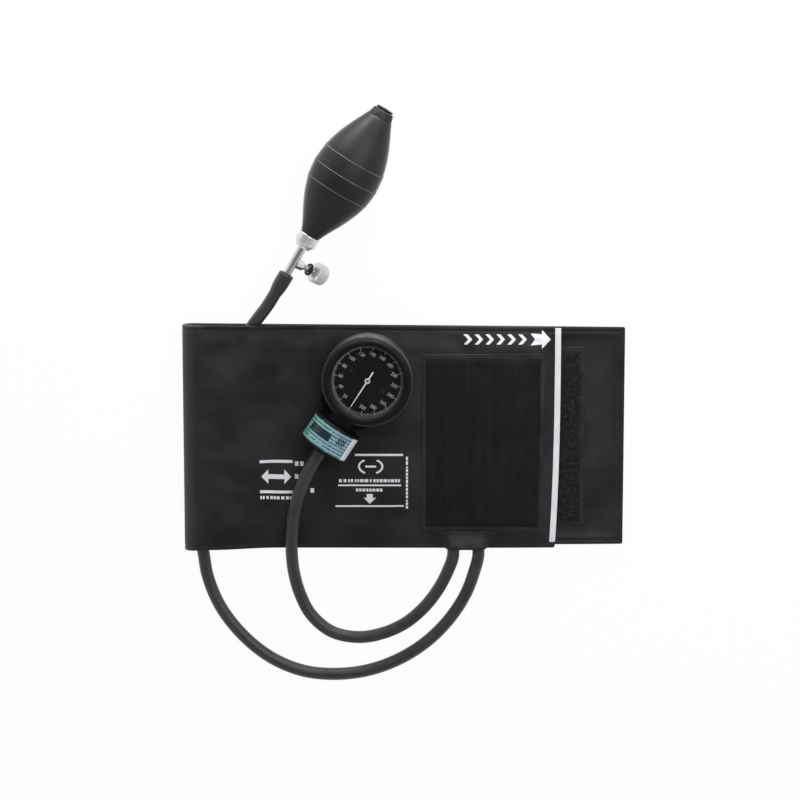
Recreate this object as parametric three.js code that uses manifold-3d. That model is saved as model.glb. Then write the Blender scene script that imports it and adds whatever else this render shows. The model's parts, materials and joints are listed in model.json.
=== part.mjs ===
// Aneroid sphygmomanometer, laid out as for a catalogue picture: an arm cuff folded in
// half, the pressure gauge lying on its front leaf, a rubber bulb with its release valve
// above it, and two rubber hoses that loop out below the cuff.
//
// Millimetres and degrees, +Z up. The origin is on the underside of the back leaf, which
// lies on the table. +X runs away from the fold and +Y towards the bulb.

import * as THREE from "three";
import { mergeVertices } from "three/addons/utils/BufferGeometryUtils.js";
import Module from "manifold-3d";

const wasm = await Module();
wasm.setup();

// Fits
const clearance = 0.3; // between pieces that touch on the real object
const runningGap = 0.2; // round shafts and between levers

// Cuff
const cuffWidth = 147; // along the fold
const freeEndWidth = 142; // at the back leaf's free end
const foldEdgeX = -142.3; // outermost line of the fold
const backReach = 142; // free end of the back leaf
const frontReach = 98.6; // free edge of the front leaf, at the middle of its width
const frontEdgeSlant = 1.5; // the free edge leans by this
const backFabric = 1.2;
const coverFabric = 0.8;
const liningFabric = 0.8;
const cornerRadius = 4;
const hemWidth = 7;
const slopeLength = 42; // over which the front leaf comes down from the hose under it
const bladderThickness = 1.6;
const bladderCorner = 8;
const bladderHoseMargin = 1.3; // from the hem to the bladder, on the hoses' side
const bladderBulbMargin = 8.2; // the same on the bulb's side
const bladderFoldMargin = 9; // from the fold to the bladder
const bladderEndMargin = 10; // from the bladder to the leaf's free edge
const pileThickness = 1;
const loopPatchLeft = 11.7;
const loopPatchLength = 77.5;
const loopPatchHoseMargin = 10.9; // from the cuff's edge, on the hoses' side
const loopPatchBulbMargin = 17.9;
const hookPatchEndMargin = 25.7; // from the back leaf's free end
const hookPatchLength = 60;
const hookPatchMargin = 13; // from the cuff's edges
const indexStripWidth = 3.9;
const indexStripThickness = 0.4;
const stripEndMargin = 3;

// Hoses, their ports in the bladder and the tab over these
const hoseDiameter = 8;
const hoseBore = 4;
const portX = 40.2; // half way between the two ports
const portSpacing = 16.3;
const portTip = 4.4; // diameter where the port leaves the bladder
const portCone = 4.7; // length over which it widens to the hose
const portWall = 1; // at its tip
const portOverhang = 2.3; // past the cuff's edge
const tabWidth = 38;
const tabOverhang = 2.9;
const tabRamp = 6.5; // over which the tab rises to its arch
const tabFabric = 0.8;
const sleeveDiameter = 9.9; // of the bulb hose's moulded end
const sleeveLength = 14;

// Gauge: a round case with its neck towards the hose
const gaugeX = -23.2;
const gaugeY = 39.8;
const gaugeTurn = -33; // about the vertical, from neck down
const caseRadius = 27.5;
const caseWall = 2;
const caseFloor = 2;
const caseHeight = 23.2; // from the floor's underside to the bezel
const caseBevel = 1.5; // round the floor
const ledgeWidth = 2.4; // the dial's seat inside the case
const dialHeight = 18.2; // from the case's underside to the dial plate
const bumperRadius = 29;
const bumperHeight = 17;
const bumperStart = 4.5; // above the case's underside
const bezelRadius = 28.2;
const bezelBand = 4.8; // width of the visible ring
const bezelHeight = 4.4;
const bezelLip = 1.3; // depth of its inner edge
const bezelRound = 2.4;
const lensThickness = 1.5;
const lensRise = 0.8; // of its dome
const lensRim = 1.5; // flat margin inside the bezel
const lensSlope = 2.5;
const dialThickness = 0.6;
const dialHole = 1.5; // radius, for the pointer's arbor
const dialRingWidth = 2;
const bracketThickness = 1.5;
const bracketRadius = 21;
const bracketTongueWidth = 36;
const bracketReach = 33.4; // from the dial's centre
const bracketChamfer = 5;
const bracketScrewSpan = 24;
const bracketScrewRadius = 1;
const bracketScrewHead = 1.9; // radius
const neckRadius = 8.5;
const neckReach = 33.7;
const capRadius = 15.75;
const capLength = 19;
const capBevel = 0.8;
const capNose = 2.3; // the domed end that the hose comes out of
const capNoseRadius = 6;
const labelWidth = 15.8; // along the cap
const labelThickness = 0.2;
const nippleRadius = 2.5;
const nippleBore = 1.2; // radius

// Dial furniture
const pointerReach = 20;
const pointerTail = 6.7;
const pointerWidth = 1.1; // at the hub
const pointerTailWidth = 1.4;
const pointerHub = 1.6;
const pointerThickness = 0.4;
const pointerLift = 1.4; // above the dial
const pointerHubRise = 0.2;
const dialScrewDepth = 1.2;
const dialScrewSpan = 24;

// Capsule and movement
const capsuleRadius = 16.5;
const capsuleSkin = 0.8;
const capsuleBulge = 1.1;
const capsuleBoss = 2.2; // radius of its inlet
const capsuleBore = 0.7;
const buttonRadius = 2.4;
const buttonPost = 0.6; // radius of the button's tip
const buttonHeight = 1;
const capsuleTravel = 0.9; // of the button at 300 mmHg
const tubeRadius = 1.3; // of the elbow that feeds the capsule
const plateThickness = 0.8;
const basePlateRadius = 21.4;
const postRadius = 1.8;
const postCircle = 19;
const pillarRadius = 1.1;
const pillarHeight = 2.9;
const plateMargin = 3; // of the top plate, round its pillars
const dialPostRadius = 1.6;
const dialArmWidth = 4; // of the top plate's arms that carry the dial
const moduleSize = 0.3; // of the gear teeth
const pinionTeeth = 10;
const sectorWholeTeeth = 80; // that a full wheel would have
const sectorTeethCut = 15;
const sectorHub = 2.6; // radius
const gearThickness = 1;
const backlash = 0.1;
const pressureAngle = 20;
const dialSweep = 337.5; // of the pointer, from 0 to 300 mmHg
const arborRadius = 0.4;
const sectorArborRadius = 0.5;
const shaftRadius = 0.5;
const buttonArm = 2; // of the rocking shaft, to the capsule's button
const sectorArm = 3; // of the rocking shaft, to the sector's pin
const armThickness = 0.5;
const armWidth = 1;
const earThickness = 1; // of the two ears that carry the rocking shaft
const earWidth = 2.6;
const pinRadius = 0.35;
const springTurns = 3.5;
const springInner = 1.4;
const springPitch = 0.9;
const springThickness = 0.22;
const springHeight = 0.7;

// Bulb and valves
const bulbX = -59.2; // the bulb's collar end
const bulbY = 131.9;
const bulbTurn = -31;
const bulbTilt = 2.6; // the valve end lies lower
const bulbLength = 91;
const bulbRadius = 22.1; // at the widest
const bulbWidest = 43.5; // from the collar end
const bulbFullness = 1.3; // exponent of its outline: less makes the bulb fuller
const collarEndRadius = 6.7;
const intakeEndRadius = 6.4;
const bulbWall = 2.2;
const bulbMouth = 4; // radius of the opening at each end
const bulbMouthDepth = 8;
const bulbLines = [33.4, 44, 55]; // places of the three raised lines
const bulbLine = 0.3; // their height
const bulbLineWidth = 1;
const collarRadius = 7.2;
const collarTaper = 4.7; // radius at its narrow end
const collarLength = 9.3;
const stemRadius = 2.8;
const stemLength = 19;
const stemBore = 0.9;
const barbCount = 3; // on the end that the hose is pushed over
const barbStep = 3;
const barbRoot = 2;
const barbRadius = 2.45;
const ballRadius = 1.9;
const ballLift = 0.8;
const chamberRadius = 2.4;
const seatRadius = 1.3;
const seatDepth = 1.5; // from the bulb's intake end to the ball's seat
const retainerLength = 1.2;
const intakeFlange = 5.6; // radius
const intakeFlangeHeight = 1;
const screwPlace = 20.5; // from the bulb's collar end
const screwDip = 33; // the screw points towards the table by this
const bossRadius = 3.4;
const bossReach = 7.2;
const needleRadius = 1;
const needlePoint = 1.3; // length of its taper
const screwStemRadius = 2;
const knobRadius = 6.75;
const knobLength = 9.5;
const knobStart = 15.9; // from the stem's axis
const knobSocket = 3; // depth to which the screw is pressed into the knob
const knobEdge = 1.3; // bevel at both ends
const knobRidges = 24;
const ridgeDepth = 0.5;
const ringSection = 1.8; // of the rubber ring on the screw
const ringPlace = 12.8;

// Small shared sizes
const screwRadius = 0.6; // of the movement's and the dial's screws
const screwHeadRadius = 1.3;
const screwHeadHeight = 0.7;
const screwDepth = 3;
const screwSeat = 0.1; // gap under a screw's head
const patchCorner = 1.5;
const past = 1; // cutting tools reach past what they cut by this

// Facets round a turned piece
const rimSides = 40;
const roundSides = 24;
const shaftSides = 14;
const smallSides = 8;
const ballSides = 10;

const rad = THREE.MathUtils.degToRad;
const frontStack = liningFabric + clearance + bladderThickness + clearance + coverFabric;
const foldGap = hoseDiameter + 2 * clearance; // between the leaves at the fold
const foldHeight = backFabric + foldGap + frontStack;
const leafStart = foldEdgeX + foldHeight / 2 + clearance;
// The underside of the lining where no hose lies under it
const leafFlat = backFabric + pileThickness + 2 * clearance;
const coverTop = leafFlat + frontStack;
const portRadius = hoseDiameter / 2;
const portHeight = backFabric + clearance + portRadius;
const bladderBottomY = -bladderSide(portX, bladderHoseMargin);
const hookPatchRight = backReach - hookPatchEndMargin;
const patchBottomY = loopPatchHoseMargin - halfWidth(portX);
const patchTopY = halfWidth(portX) - loopPatchBulbMargin;
const portEnd = -halfWidth(portX) - portOverhang;
const tabEnd = -halfWidth(portX) - tabOverhang;

// Tools for solids

// A solid from a closed three.js geometry, with its faces turned outwards.
function solidOf(geometry) {
  const bare = geometry.clone();
  bare.deleteAttribute("normal");
  bare.deleteAttribute("uv");
  const merged = mergeVertices(bare, 1e-4);
  const place = merged.attributes.position;
  const index = Uint32Array.from(merged.index.array);
  const corner = [new THREE.Vector3(), new THREE.Vector3(), new THREE.Vector3()];
  let volume = 0;
  for (let i = 0; i < index.length; i += 3) {
    corner.forEach((point, k) => point.fromBufferAttribute(place, index[i + k]));
    volume += corner[0].dot(corner[1].cross(corner[2]));
  }
  if (volume < 0) {
    for (let i = 0; i < index.length; i += 3) {
      [index[i + 1], index[i + 2]] = [index[i + 2], index[i + 1]];
    }
  }
  const mesh = new wasm.Mesh({
    numProp: 3,
    vertProperties: Float32Array.from(place.array),
    triVerts: index,
  });
  mesh.merge();
  return new wasm.Manifold(mesh);
}

function geometryOf(solid) {
  const mesh = solid.getMesh();
  const geometry = new THREE.BufferGeometry();
  geometry.setAttribute("position", new THREE.BufferAttribute(mesh.vertProperties, 3));
  geometry.setIndex(new THREE.BufferAttribute(mesh.triVerts, 1));
  return geometry;
}

const cut = (body, ...tools) =>
  geometryOf(tools.reduce((rest, tool) => rest.subtract(solidOf(tool)), solidOf(body)));
const join = (body, ...others) =>
  geometryOf(others.reduce((sum, other) => sum.add(solidOf(other)), solidOf(body)));
const within = (body, limit) => geometryOf(solidOf(body).intersect(solidOf(limit)));

// A profile of [radius, height] pairs turned about the Y axis.
function turnedY(profile, sides = roundSides) {
  const points = profile.map(([radius, height]) => new THREE.Vector2(radius, height));
  return new THREE.LatheGeometry(points, sides);
}

// The same about the Z axis.
const turnedZ = (profile, sides = roundSides) => turnedY(profile, sides).rotateX(Math.PI / 2);

const closed = (profile) => [...profile, profile[0]];

const ringProfile = (inner, outer, low, high) =>
  inner > 0
    ? closed([[inner, low], [outer, low], [outer, high], [inner, high]])
    : [[0, low], [outer, low], [outer, high], [0, high]];

// A bar or tube along the Z axis.
const tubeZ = (inner, outer, low, high, sides = shaftSides) =>
  turnedZ(ringProfile(inner, outer, low, high), sides);

// The same along the Y axis.
const tubeY = (inner, outer, low, high, sides = shaftSides) =>
  turnedY(ringProfile(inner, outer, low, high), sides);

// An outline in the XY plane, made into a plate.
const plate = (shape, low, thickness, curveSegments = 8) =>
  new THREE.ExtrudeGeometry(shape, {
    depth: thickness,
    bevelEnabled: false,
    curveSegments,
  }).translate(0, 0, low);

// A four-cornered outline with round corners, its corners in turn.
function roundedOutline(corners, radius) {
  const points = corners.map(([x, y]) => new THREE.Vector2(x, y));
  const shape = new THREE.Shape();
  points.forEach((point, i) => {
    const before = points[(i + points.length - 1) % points.length];
    const after = points[(i + 1) % points.length];
    const start = point.clone().addScaledVector(before.clone().sub(point).normalize(), radius);
    const end = point.clone().addScaledVector(after.clone().sub(point).normalize(), radius);
    if (i === 0) shape.moveTo(start.x, start.y);
    else shape.lineTo(start.x, start.y);
    shape.quadraticCurveTo(point.x, point.y, end.x, end.y);
  });
  shape.closePath();
  return shape;
}

const boxOutline = (left, right, low, high, radius) =>
  roundedOutline([[left, low], [right, low], [right, high], [left, high]], radius);

const smooth = (value) => THREE.MathUtils.smoothstep(value, 0, 1);

// Materials
const finish = (color, roughness, metalness = 0) =>
  new THREE.MeshStandardMaterial({ color, roughness, metalness, flatShading: true });
const nylon = finish(0x232327, 0.8);
const pile = finish(0x19191b, 0.95);
const printWhite = finish(0xe6e6ea, 0.6);
const rubber = finish(0x3c3c40, 0.6);
const blackPlastic = finish(0x1c1c1e, 0.4);
const chrome = finish(0xc8c8cc, 0.15, 1);
const brass = finish(0xb9934a, 0.35, 1);
const steel = finish(0x9a9ca0, 0.3, 1);
const glass = finish(0xf2f6f8, 0.05);
glass.transparent = true;
glass.opacity = 0.25;
const dialBlack = finish(0x101012, 0.5);
const labelTeal = finish(0x2c8f9c, 0.4);

const sphygmomanometer = new THREE.Group();

function piece(name, geometry, material, parent = sphygmomanometer) {
  const mesh = new THREE.Mesh(geometryOf(solidOf(geometry)), material);
  mesh.name = name;
  parent.add(mesh);
  return mesh;
}

// Hose routes. The points are chosen along the hoses' centre lines.

const gaugeHoseRoute = [
  [-53.5, -6.8, 22.8],
  [-56.4, -11.3, 22.7],
  [-60.4, -18.6, 20.4],
  [-64.6, -27.8, 16.2],
  [-68, -37.6, 12.4],
  [-70.6, -48, 11],
  [-72, -58.6, 10.9],
  [-72.6, -70.5, 10.9],
  [-72.3, -80, 9.4],
  [-71.1, -90.3, 6.2],
  [-68, -102.3, 4.3],
  [-60.8, -116.9, 4.2],
  [-47.3, -128.6, 4.2],
  [-30.2, -132.4, 4.2],
  [-14.2, -129.9, 4.2],
  [0.9, -123, 4.2],
  [13.3, -112.3, 4.2],
  [22.9, -99.4, 4.5],
  [29.2, -86.4, 5.2],
  [31.7, -79, 5.5],
  [32.05, -74.5, 5.5],
];

const bulbHoseRoute = [
  [48.35, -74.5, 5.5],
  [48.1, -79, 5.5],
  [46.1, -87, 5.2],
  [40.6, -102.6, 4.4],
  [30.1, -119.6, 4.2],
  [14.9, -135.3, 4.2],
  [-3.1, -147, 4.2],
  [-23.7, -154.6, 4.2],
  [-45, -157.1, 4.2],
  [-65.4, -155, 4.2],
  [-85.4, -146.8, 4.2],
  [-103.7, -132.4, 4.2],
  [-118.8, -113, 4.2],
  [-127.3, -92.5, 4.5],
  [-130.1, -75.5, 5.4],
  [-132.6, -60, 5.5],
  [-133.2, -42, 5.5],
  [-131.4, -22, 5.5],
  [-127.4, -1, 5.5],
  [-121.6, 20, 5.5],
  [-113.6, 42, 5.5],
  [-107.4, 54, 5.5],
  [-102.4, 63.2, 6],
  [-97.4, 71.6, 7.3],
  [-94.6, 75.7, 9.2],
  [-91.6, 79.8, 12.2],
  [-87.3, 85.6, 16.1],
  [-84.3, 90.2, 18],
  [-81.75, 94.45, 18.5],
];

const routeCurve = (route) =>
  new THREE.CatmullRomCurve3(
    route.map((point) => new THREE.Vector3(...point)),
    false,
    "centripetal",
  );

function hose(curve, stepLength = 9) {
  const section = new THREE.Shape().absarc(0, 0, hoseDiameter / 2, 0, 2 * Math.PI);
  return new THREE.ExtrudeGeometry(section, {
    steps: Math.round(curve.getLength() / stepLength),
    curveSegments: 4,
    extrudePath: curve,
  });
}

const bulbHoseCurve = routeCurve(bulbHoseRoute);
piece("gauge_hose", hose(routeCurve(gaugeHoseRoute)), rubber);
piece("bulb_hose", hose(bulbHoseCurve), rubber);

// Cuff

// Where the bulb's hose lies between the leaves: its x and z for a given y.
const hoseSamples = bulbHoseCurve
  .getSpacedPoints(200)
  .filter((point) => point.x < gaugeX && Math.abs(point.y) < cuffWidth);
const hoseRise = hoseSamples.filter(
  (point, i) => i > 0 && point.y > hoseSamples[i - 1].y && point.y > -cuffWidth * 0.55,
);

function hoseAt(y) {
  return hoseRise.reduce((near, point) =>
    Math.abs(point.y - y) < Math.abs(near.y - y) ? point : near,
  );
}

// Half of the cuff's width at x.
function halfWidth(x) {
  const share = (x - foldEdgeX) / (backReach - foldEdgeX);
  return THREE.MathUtils.lerp(cuffWidth, freeEndWidth, share) / 2;
}

// From the cuff's middle line to the bladder's edge at x.
function bladderSide(x, margin) {
  return halfWidth(x) - hemWidth - margin;
}

// The underside of the front leaf: level beside the fold, over the hose, and then down to
// the back leaf.
function leafUnderside(x, y) {
  const centre = hoseAt(y);
  const overHose = centre.z + hoseDiameter / 2 + clearance;
  const level = backFabric + foldGap;
  const ridge = Math.max(level, overHose + (overHose > level + clearance ? 2 * clearance : 0));
  const crown = 0.75 * hoseDiameter;
  if (x < centre.x) {
    const run = Math.max(centre.x - crown - leafStart, 1);
    return level + (ridge - level) * smooth((x - leafStart) / run);
  }
  return ridge + (leafFlat - ridge) * smooth((x - centre.x - crown) / slopeLength);
}

// A blanket that follows the front leaf, from a height above its underside. All layers
// share one grid, so they lie parallel.
function frontLayer(offset, thickness) {
  const fineCells = 10;
  const reach = frontEdgeX(cuffWidth / 2) + past;
  const fineEnd = Math.max(...hoseRise.map((point) => point.x)) + hoseDiameter + slopeLength;
  const across = Array.from({ length: fineCells + 1 }, (_, i) =>
    THREE.MathUtils.lerp(leafStart, fineEnd, i / fineCells),
  );
  across.push(reach);
  const rows = 8;
  const along = Array.from({ length: rows + 1 }, (_, i) =>
    THREE.MathUtils.lerp(-cuffWidth / 2 - past, cuffWidth / 2 + past, i / rows),
  );
  const positions = [];
  for (const lift of [offset, offset + thickness]) {
    for (const y of along) {
      for (const x of across) positions.push(x, y, leafUnderside(x, y) + lift);
    }
  }
  const columns = across.length;
  const layer = columns * along.length;
  const faces = [];
  const quad = (a, b, c, d) => faces.push(a, b, c, a, c, d);
  for (let j = 0; j < rows; j++) {
    for (let i = 0; i < columns - 1; i++) {
      const a = j * columns + i;
      quad(a, a + columns, a + columns + 1, a + 1);
      quad(layer + a, layer + a + 1, layer + a + columns + 1, layer + a + columns);
    }
  }
  for (let i = 0; i < columns - 1; i++) {
    const far = rows * columns + i;
    quad(i, i + 1, layer + i + 1, layer + i);
    quad(far + 1, far, layer + far, layer + far + 1);
  }
  for (let j = 0; j < rows; j++) {
    const left = j * columns;
    const right = left + columns - 1;
    quad(left + columns, left, layer + left, layer + left + columns);
    quad(right, right + columns, layer + right + columns, layer + right);
  }
  const geometry = new THREE.BufferGeometry();
  geometry.setAttribute("position", new THREE.Float32BufferAttribute(positions, 3));
  geometry.setIndex(faces);
  return geometry;
}

// The front leaf's free edge leans, so its x depends on y.
const frontEdgeX = (y) => frontReach + y * Math.tan(rad(frontEdgeSlant));

// The front leaf's outline, drawn in by an inset on its three free edges.
function frontOutline(inset, startInset = 0) {
  const start = leafStart + startInset;
  const top = halfWidth(frontReach) - inset;
  const corners = [
    [start, -halfWidth(leafStart) + inset],
    [frontEdgeX(-top) - inset, -top],
    [frontEdgeX(top) - inset, top],
    [start, halfWidth(leafStart) - inset],
  ];
  return roundedOutline(corners, cornerRadius);
}

const tallPrism = (shape) => plate(shape, -2 * foldHeight, 6 * foldHeight);

// The mouth in the front leaf's lower edge that the two ports come out of.
const mouthHalf = portSpacing / 2 + portRadius + clearance;
const outletMouth = () =>
  tallPrism(
    boxOutline(
      portX - mouthHalf,
      portX + mouthHalf,
      -cuffWidth,
      bladderBottomY + clearance,
      clearance,
    ),
  );

function makeCuff() {
  const outline = () => tallPrism(frontOutline(0, -cornerRadius));
  const afterFold = tallPrism(
    boxOutline(leafStart, 2 * backReach, -cuffWidth, cuffWidth, clearance),
  );
  const trimmed = (offset, thickness) =>
    within(within(frontLayer(offset, thickness), outline()), afterFold);
  const coverStart = liningFabric + bladderThickness + 2 * clearance;
  piece("front_cover", cut(trimmed(coverStart, coverFabric), outletMouth()), nylon);
  piece("front_lining", cut(trimmed(0, liningFabric), outletMouth()), nylon);

  const bladderStart = liningFabric + clearance;
  const bladderLeft = leafStart + bladderFoldMargin;
  const bladderRight = frontReach - bladderEndMargin;
  const bladderCorners = [
    [bladderLeft, -bladderSide(bladderLeft, bladderHoseMargin)],
    [bladderRight, -bladderSide(bladderRight, bladderHoseMargin)],
    [bladderRight, bladderSide(bladderRight, bladderBulbMargin)],
    [bladderLeft, bladderSide(bladderLeft, bladderBulbMargin)],
  ];
  const bladderOutline = roundedOutline(bladderCorners, bladderCorner);
  piece(
    "bladder",
    within(frontLayer(bladderStart, bladderThickness), tallPrism(bladderOutline)),
    rubber,
  );

  // The seam allowance that closes the leaf all round the bladder.
  piece(
    "front_hem",
    cut(
      trimmed(bladderStart, bladderThickness),
      tallPrism(frontOutline(hemWidth, hemWidth)),
      outletMouth(),
    ),
    nylon,
  );

  piece(
    "loop_patch",
    plate(
      boxOutline(
        loopPatchLeft,
        loopPatchLeft + loopPatchLength,
        patchBottomY,
        patchTopY,
        patchCorner,
      ),
      coverTop + clearance,
      pileThickness,
      3,
    ),
    pile,
  );
  const stripTop = halfWidth(frontReach) - stripEndMargin;
  const stripCorners = [
    [frontEdgeX(-stripTop) - indexStripWidth, -stripTop],
    [frontEdgeX(-stripTop), -stripTop],
    [frontEdgeX(stripTop), stripTop],
    [frontEdgeX(stripTop) - indexStripWidth, stripTop],
  ];
  piece(
    "index_strip",
    plate(
      roundedOutline(stripCorners, clearance),
      coverTop + clearance,
      indexStripThickness,
      1,
    ),
    printWhite,
  );

  const backCorners = [
    [leafStart, -halfWidth(leafStart)],
    [backReach, -freeEndWidth / 2],
    [backReach, freeEndWidth / 2],
    [leafStart, halfWidth(leafStart)],
  ];
  const backOutline = new THREE.Shape();
  const [lowLeft, lowRight, highRight, highLeft] = backCorners;
  backOutline.moveTo(...lowLeft);
  backOutline.lineTo(lowRight[0] - cornerRadius, lowRight[1]);
  backOutline.quadraticCurveTo(...lowRight, lowRight[0], lowRight[1] + cornerRadius);
  backOutline.lineTo(highRight[0], highRight[1] - cornerRadius);
  backOutline.quadraticCurveTo(...highRight, highRight[0] - cornerRadius, highRight[1]);
  backOutline.lineTo(...highLeft);
  backOutline.closePath();
  piece("back_leaf", plate(backOutline, 0, backFabric, 5), nylon);
  piece(
    "hook_patch",
    plate(
      boxOutline(
        hookPatchRight - hookPatchLength,
        hookPatchRight,
        hookPatchMargin - freeEndWidth / 2,
        freeEndWidth / 2 - hookPatchMargin,
        patchCorner,
      ),
      backFabric + clearance,
      pileThickness,
      3,
    ),
    pile,
  );
  makeFold();
}

// The fold is a thick crescent: as thick as the front leaf above and the back leaf below.
function makeFold() {
  const end = leafStart - clearance;
  const outer = foldHeight / 2;
  const inner = foldGap / 2;
  const crescent = new THREE.Shape();
  crescent.absarc(end, outer, outer, Math.PI / 2, Math.PI * 1.5, false);
  crescent.absarc(end, backFabric + inner, inner, Math.PI * 1.5, Math.PI / 2, true);
  crescent.closePath();
  const length = 2 * halfWidth(foldEdgeX);
  const fold = new THREE.ExtrudeGeometry(crescent, {
    depth: length,
    bevelEnabled: false,
    curveSegments: 12,
  });
  piece("cuff_fold", fold.rotateX(Math.PI / 2).translate(0, length / 2, 0), nylon);
}

// The bladder's two necks, and the tab of cloth that arches over them.
function makeOutlet() {
  const start = bladderBottomY - clearance;
  const bore = portTip / 2 - portWall;
  const profile = closed([
    [hoseBore / 2, portEnd],
    [portRadius, portEnd],
    [portRadius, start - portCone],
    [portTip / 2, start],
    [bore, start],
    [hoseBore / 2, start - portCone],
  ]);
  for (const [name, side] of [["bladder_port_gauge", -1], ["bladder_port_bulb", 1]]) {
    const port = turnedY(profile, shaftSides);
    piece(name, port.translate(portX + (side * portSpacing) / 2, 0, portHeight), rubber);
  }

  const archTop = portHeight + portRadius + clearance;
  const seat = coverTop + clearance;
  const flat = 1.8;
  const shoulder = 7;
  const tabStart = patchBottomY - clearance;
  const columns = 12;
  const rows = 5;
  const tab = new THREE.BoxGeometry(tabWidth, tabStart - tabEnd, tabFabric, columns, rows, 1);
  tab.translate(portX, (tabStart + tabEnd) / 2, tabFabric / 2);
  const place = tab.attributes.position;
  for (let i = 0; i < place.count; i++) {
    const edge = tabWidth / 2 - Math.abs(place.getX(i) - portX);
    const arch = smooth((edge - flat) / shoulder);
    const ramp = smooth((tabStart - place.getY(i)) / tabRamp);
    place.setZ(i, place.getZ(i) + seat + (archTop - seat) * arch * ramp);
  }
  piece("hose_outlet_tab", tab, nylon);
}

makeCuff();
makeOutlet();

// Gauge. In its own frame the dial faces +Z, 0 mmHg and the neck are at -Y, and the
// bracket lies at the bottom.

const gauge = new THREE.Group();
gauge.position.set(gaugeX, gaugeY, coverTop + clearance);
gauge.rotation.z = rad(gaugeTurn);
sphygmomanometer.add(gauge);

const caseBase = bracketThickness + clearance;
const floorTop = caseBase + caseFloor;
const innerRadius = caseRadius - caseWall;
const ledgeRadius = innerRadius - ledgeWidth;
const dialBase = caseBase + dialHeight;
const dialTop = dialBase + dialThickness;
const caseTop = caseBase + caseHeight;
const neckAxis = capRadius + clearance / 2;
const plateRadius = innerRadius - clearance;
const boreGap = clearance;

const alongNeck = (geometry) => geometry.translate(0, 0, neckAxis);

// Stack of the movement, from the case's floor up.
const elbowHeight = floorTop + clearance + tubeRadius;
const capsuleBase = elbowHeight + tubeRadius + clearance;
const capsuleMid = capsuleBase + capsuleSkin + capsuleBulge;
const capsuleTop = capsuleMid + clearance + capsuleSkin + capsuleBulge;

// Gears and levers
const pinionPitch = (moduleSize * pinionTeeth) / 2;
const sectorPitch = (moduleSize * sectorWholeTeeth) / 2;
const gearRatio = sectorWholeTeeth / pinionTeeth;
const sectorSweep = dialSweep / gearRatio;
const rockSweep = THREE.MathUtils.radToDeg(2 * Math.asin(capsuleTravel / 2 / buttonArm));
const pinTravel = 2 * sectorArm * Math.sin(rad(rockSweep / 2));
const pinCircle = pinTravel / 2 / Math.sin(rad(sectorSweep / 2));
const shaftX = buttonArm * Math.cos(rad(rockSweep / 2));
const sectorX = shaftX + armThickness / 2 + runningGap + pinRadius;
const sectorY = Math.sqrt((pinionPitch + sectorPitch) ** 2 - sectorX ** 2);
const armY = sectorY - pinCircle;

const buttonTop = capsuleTop + clearance + buttonHeight;
const shaftLift = runningGap + armThickness / 2 + buttonArm * Math.sin(rad(rockSweep / 2));
const shaftHeight = buttonTop + shaftLift;
const basePlate = shaftHeight + capsuleTravel / 2 + armThickness / 2 + clearance;
const sectorPlane = shaftHeight + sectorArm + clearance + armThickness / 2;
const topPlate = basePlate + plateThickness + pillarHeight + clearance;
const pinionLow = sectorPlane - clearance / 3;
const pinionHigh = sectorPlane + gearThickness + clearance / 3;

const pillarPlaces = [[-10, 14], [13, 13], [0, -11]];
const postAngles = [30, 150, 250];
const onCircle = (radius, degrees) => [
  radius * Math.cos(rad(degrees)),
  radius * Math.sin(rad(degrees)),
];

function makeCase() {
  const cup = turnedZ(
    [
      [0, caseBase],
      [caseRadius - caseBevel, caseBase],
      [caseRadius, caseBase + caseBevel],
      [caseRadius, caseTop],
      [innerRadius, caseTop],
      [innerRadius, dialBase - clearance],
      [ledgeRadius, dialBase - clearance],
      [ledgeRadius, floorTop],
      [0, floorTop],
    ],
    roundSides,
  );
  const neck = alongNeck(tubeY(0, neckRadius, -neckReach, -innerRadius, shaftSides));
  const posts = postAngles.map((angle) =>
    tubeZ(0, postRadius, floorTop - caseFloor / 2, basePlate - clearance, smallSides).translate(
      ...onCircle(postCircle, angle),
      0,
    ),
  );
  const neckBore = alongNeck(
    tubeY(0, nippleRadius + boreGap, -neckReach - past, -ledgeRadius + past, shaftSides),
  );
  const screwHoles = [-1, 1].map((side) =>
    tubeZ(0, bracketScrewRadius + boreGap, 0, floorTop + past, smallSides).translate(
      (side * bracketScrewSpan) / 2,
      0,
      0,
    ),
  );
  const postBore = basePlate - screwDepth - clearance;
  const postHoles = postAngles.map((angle) =>
    tubeZ(0, screwRadius + boreGap, postBore, basePlate + past, smallSides).translate(
      ...onCircle(postCircle, angle),
      0,
    ),
  );
  piece(
    "gauge_case",
    cut(join(cup, neck, ...posts), neckBore, ...screwHoles, ...postHoles),
    blackPlastic,
    gauge,
  );
}

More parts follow.
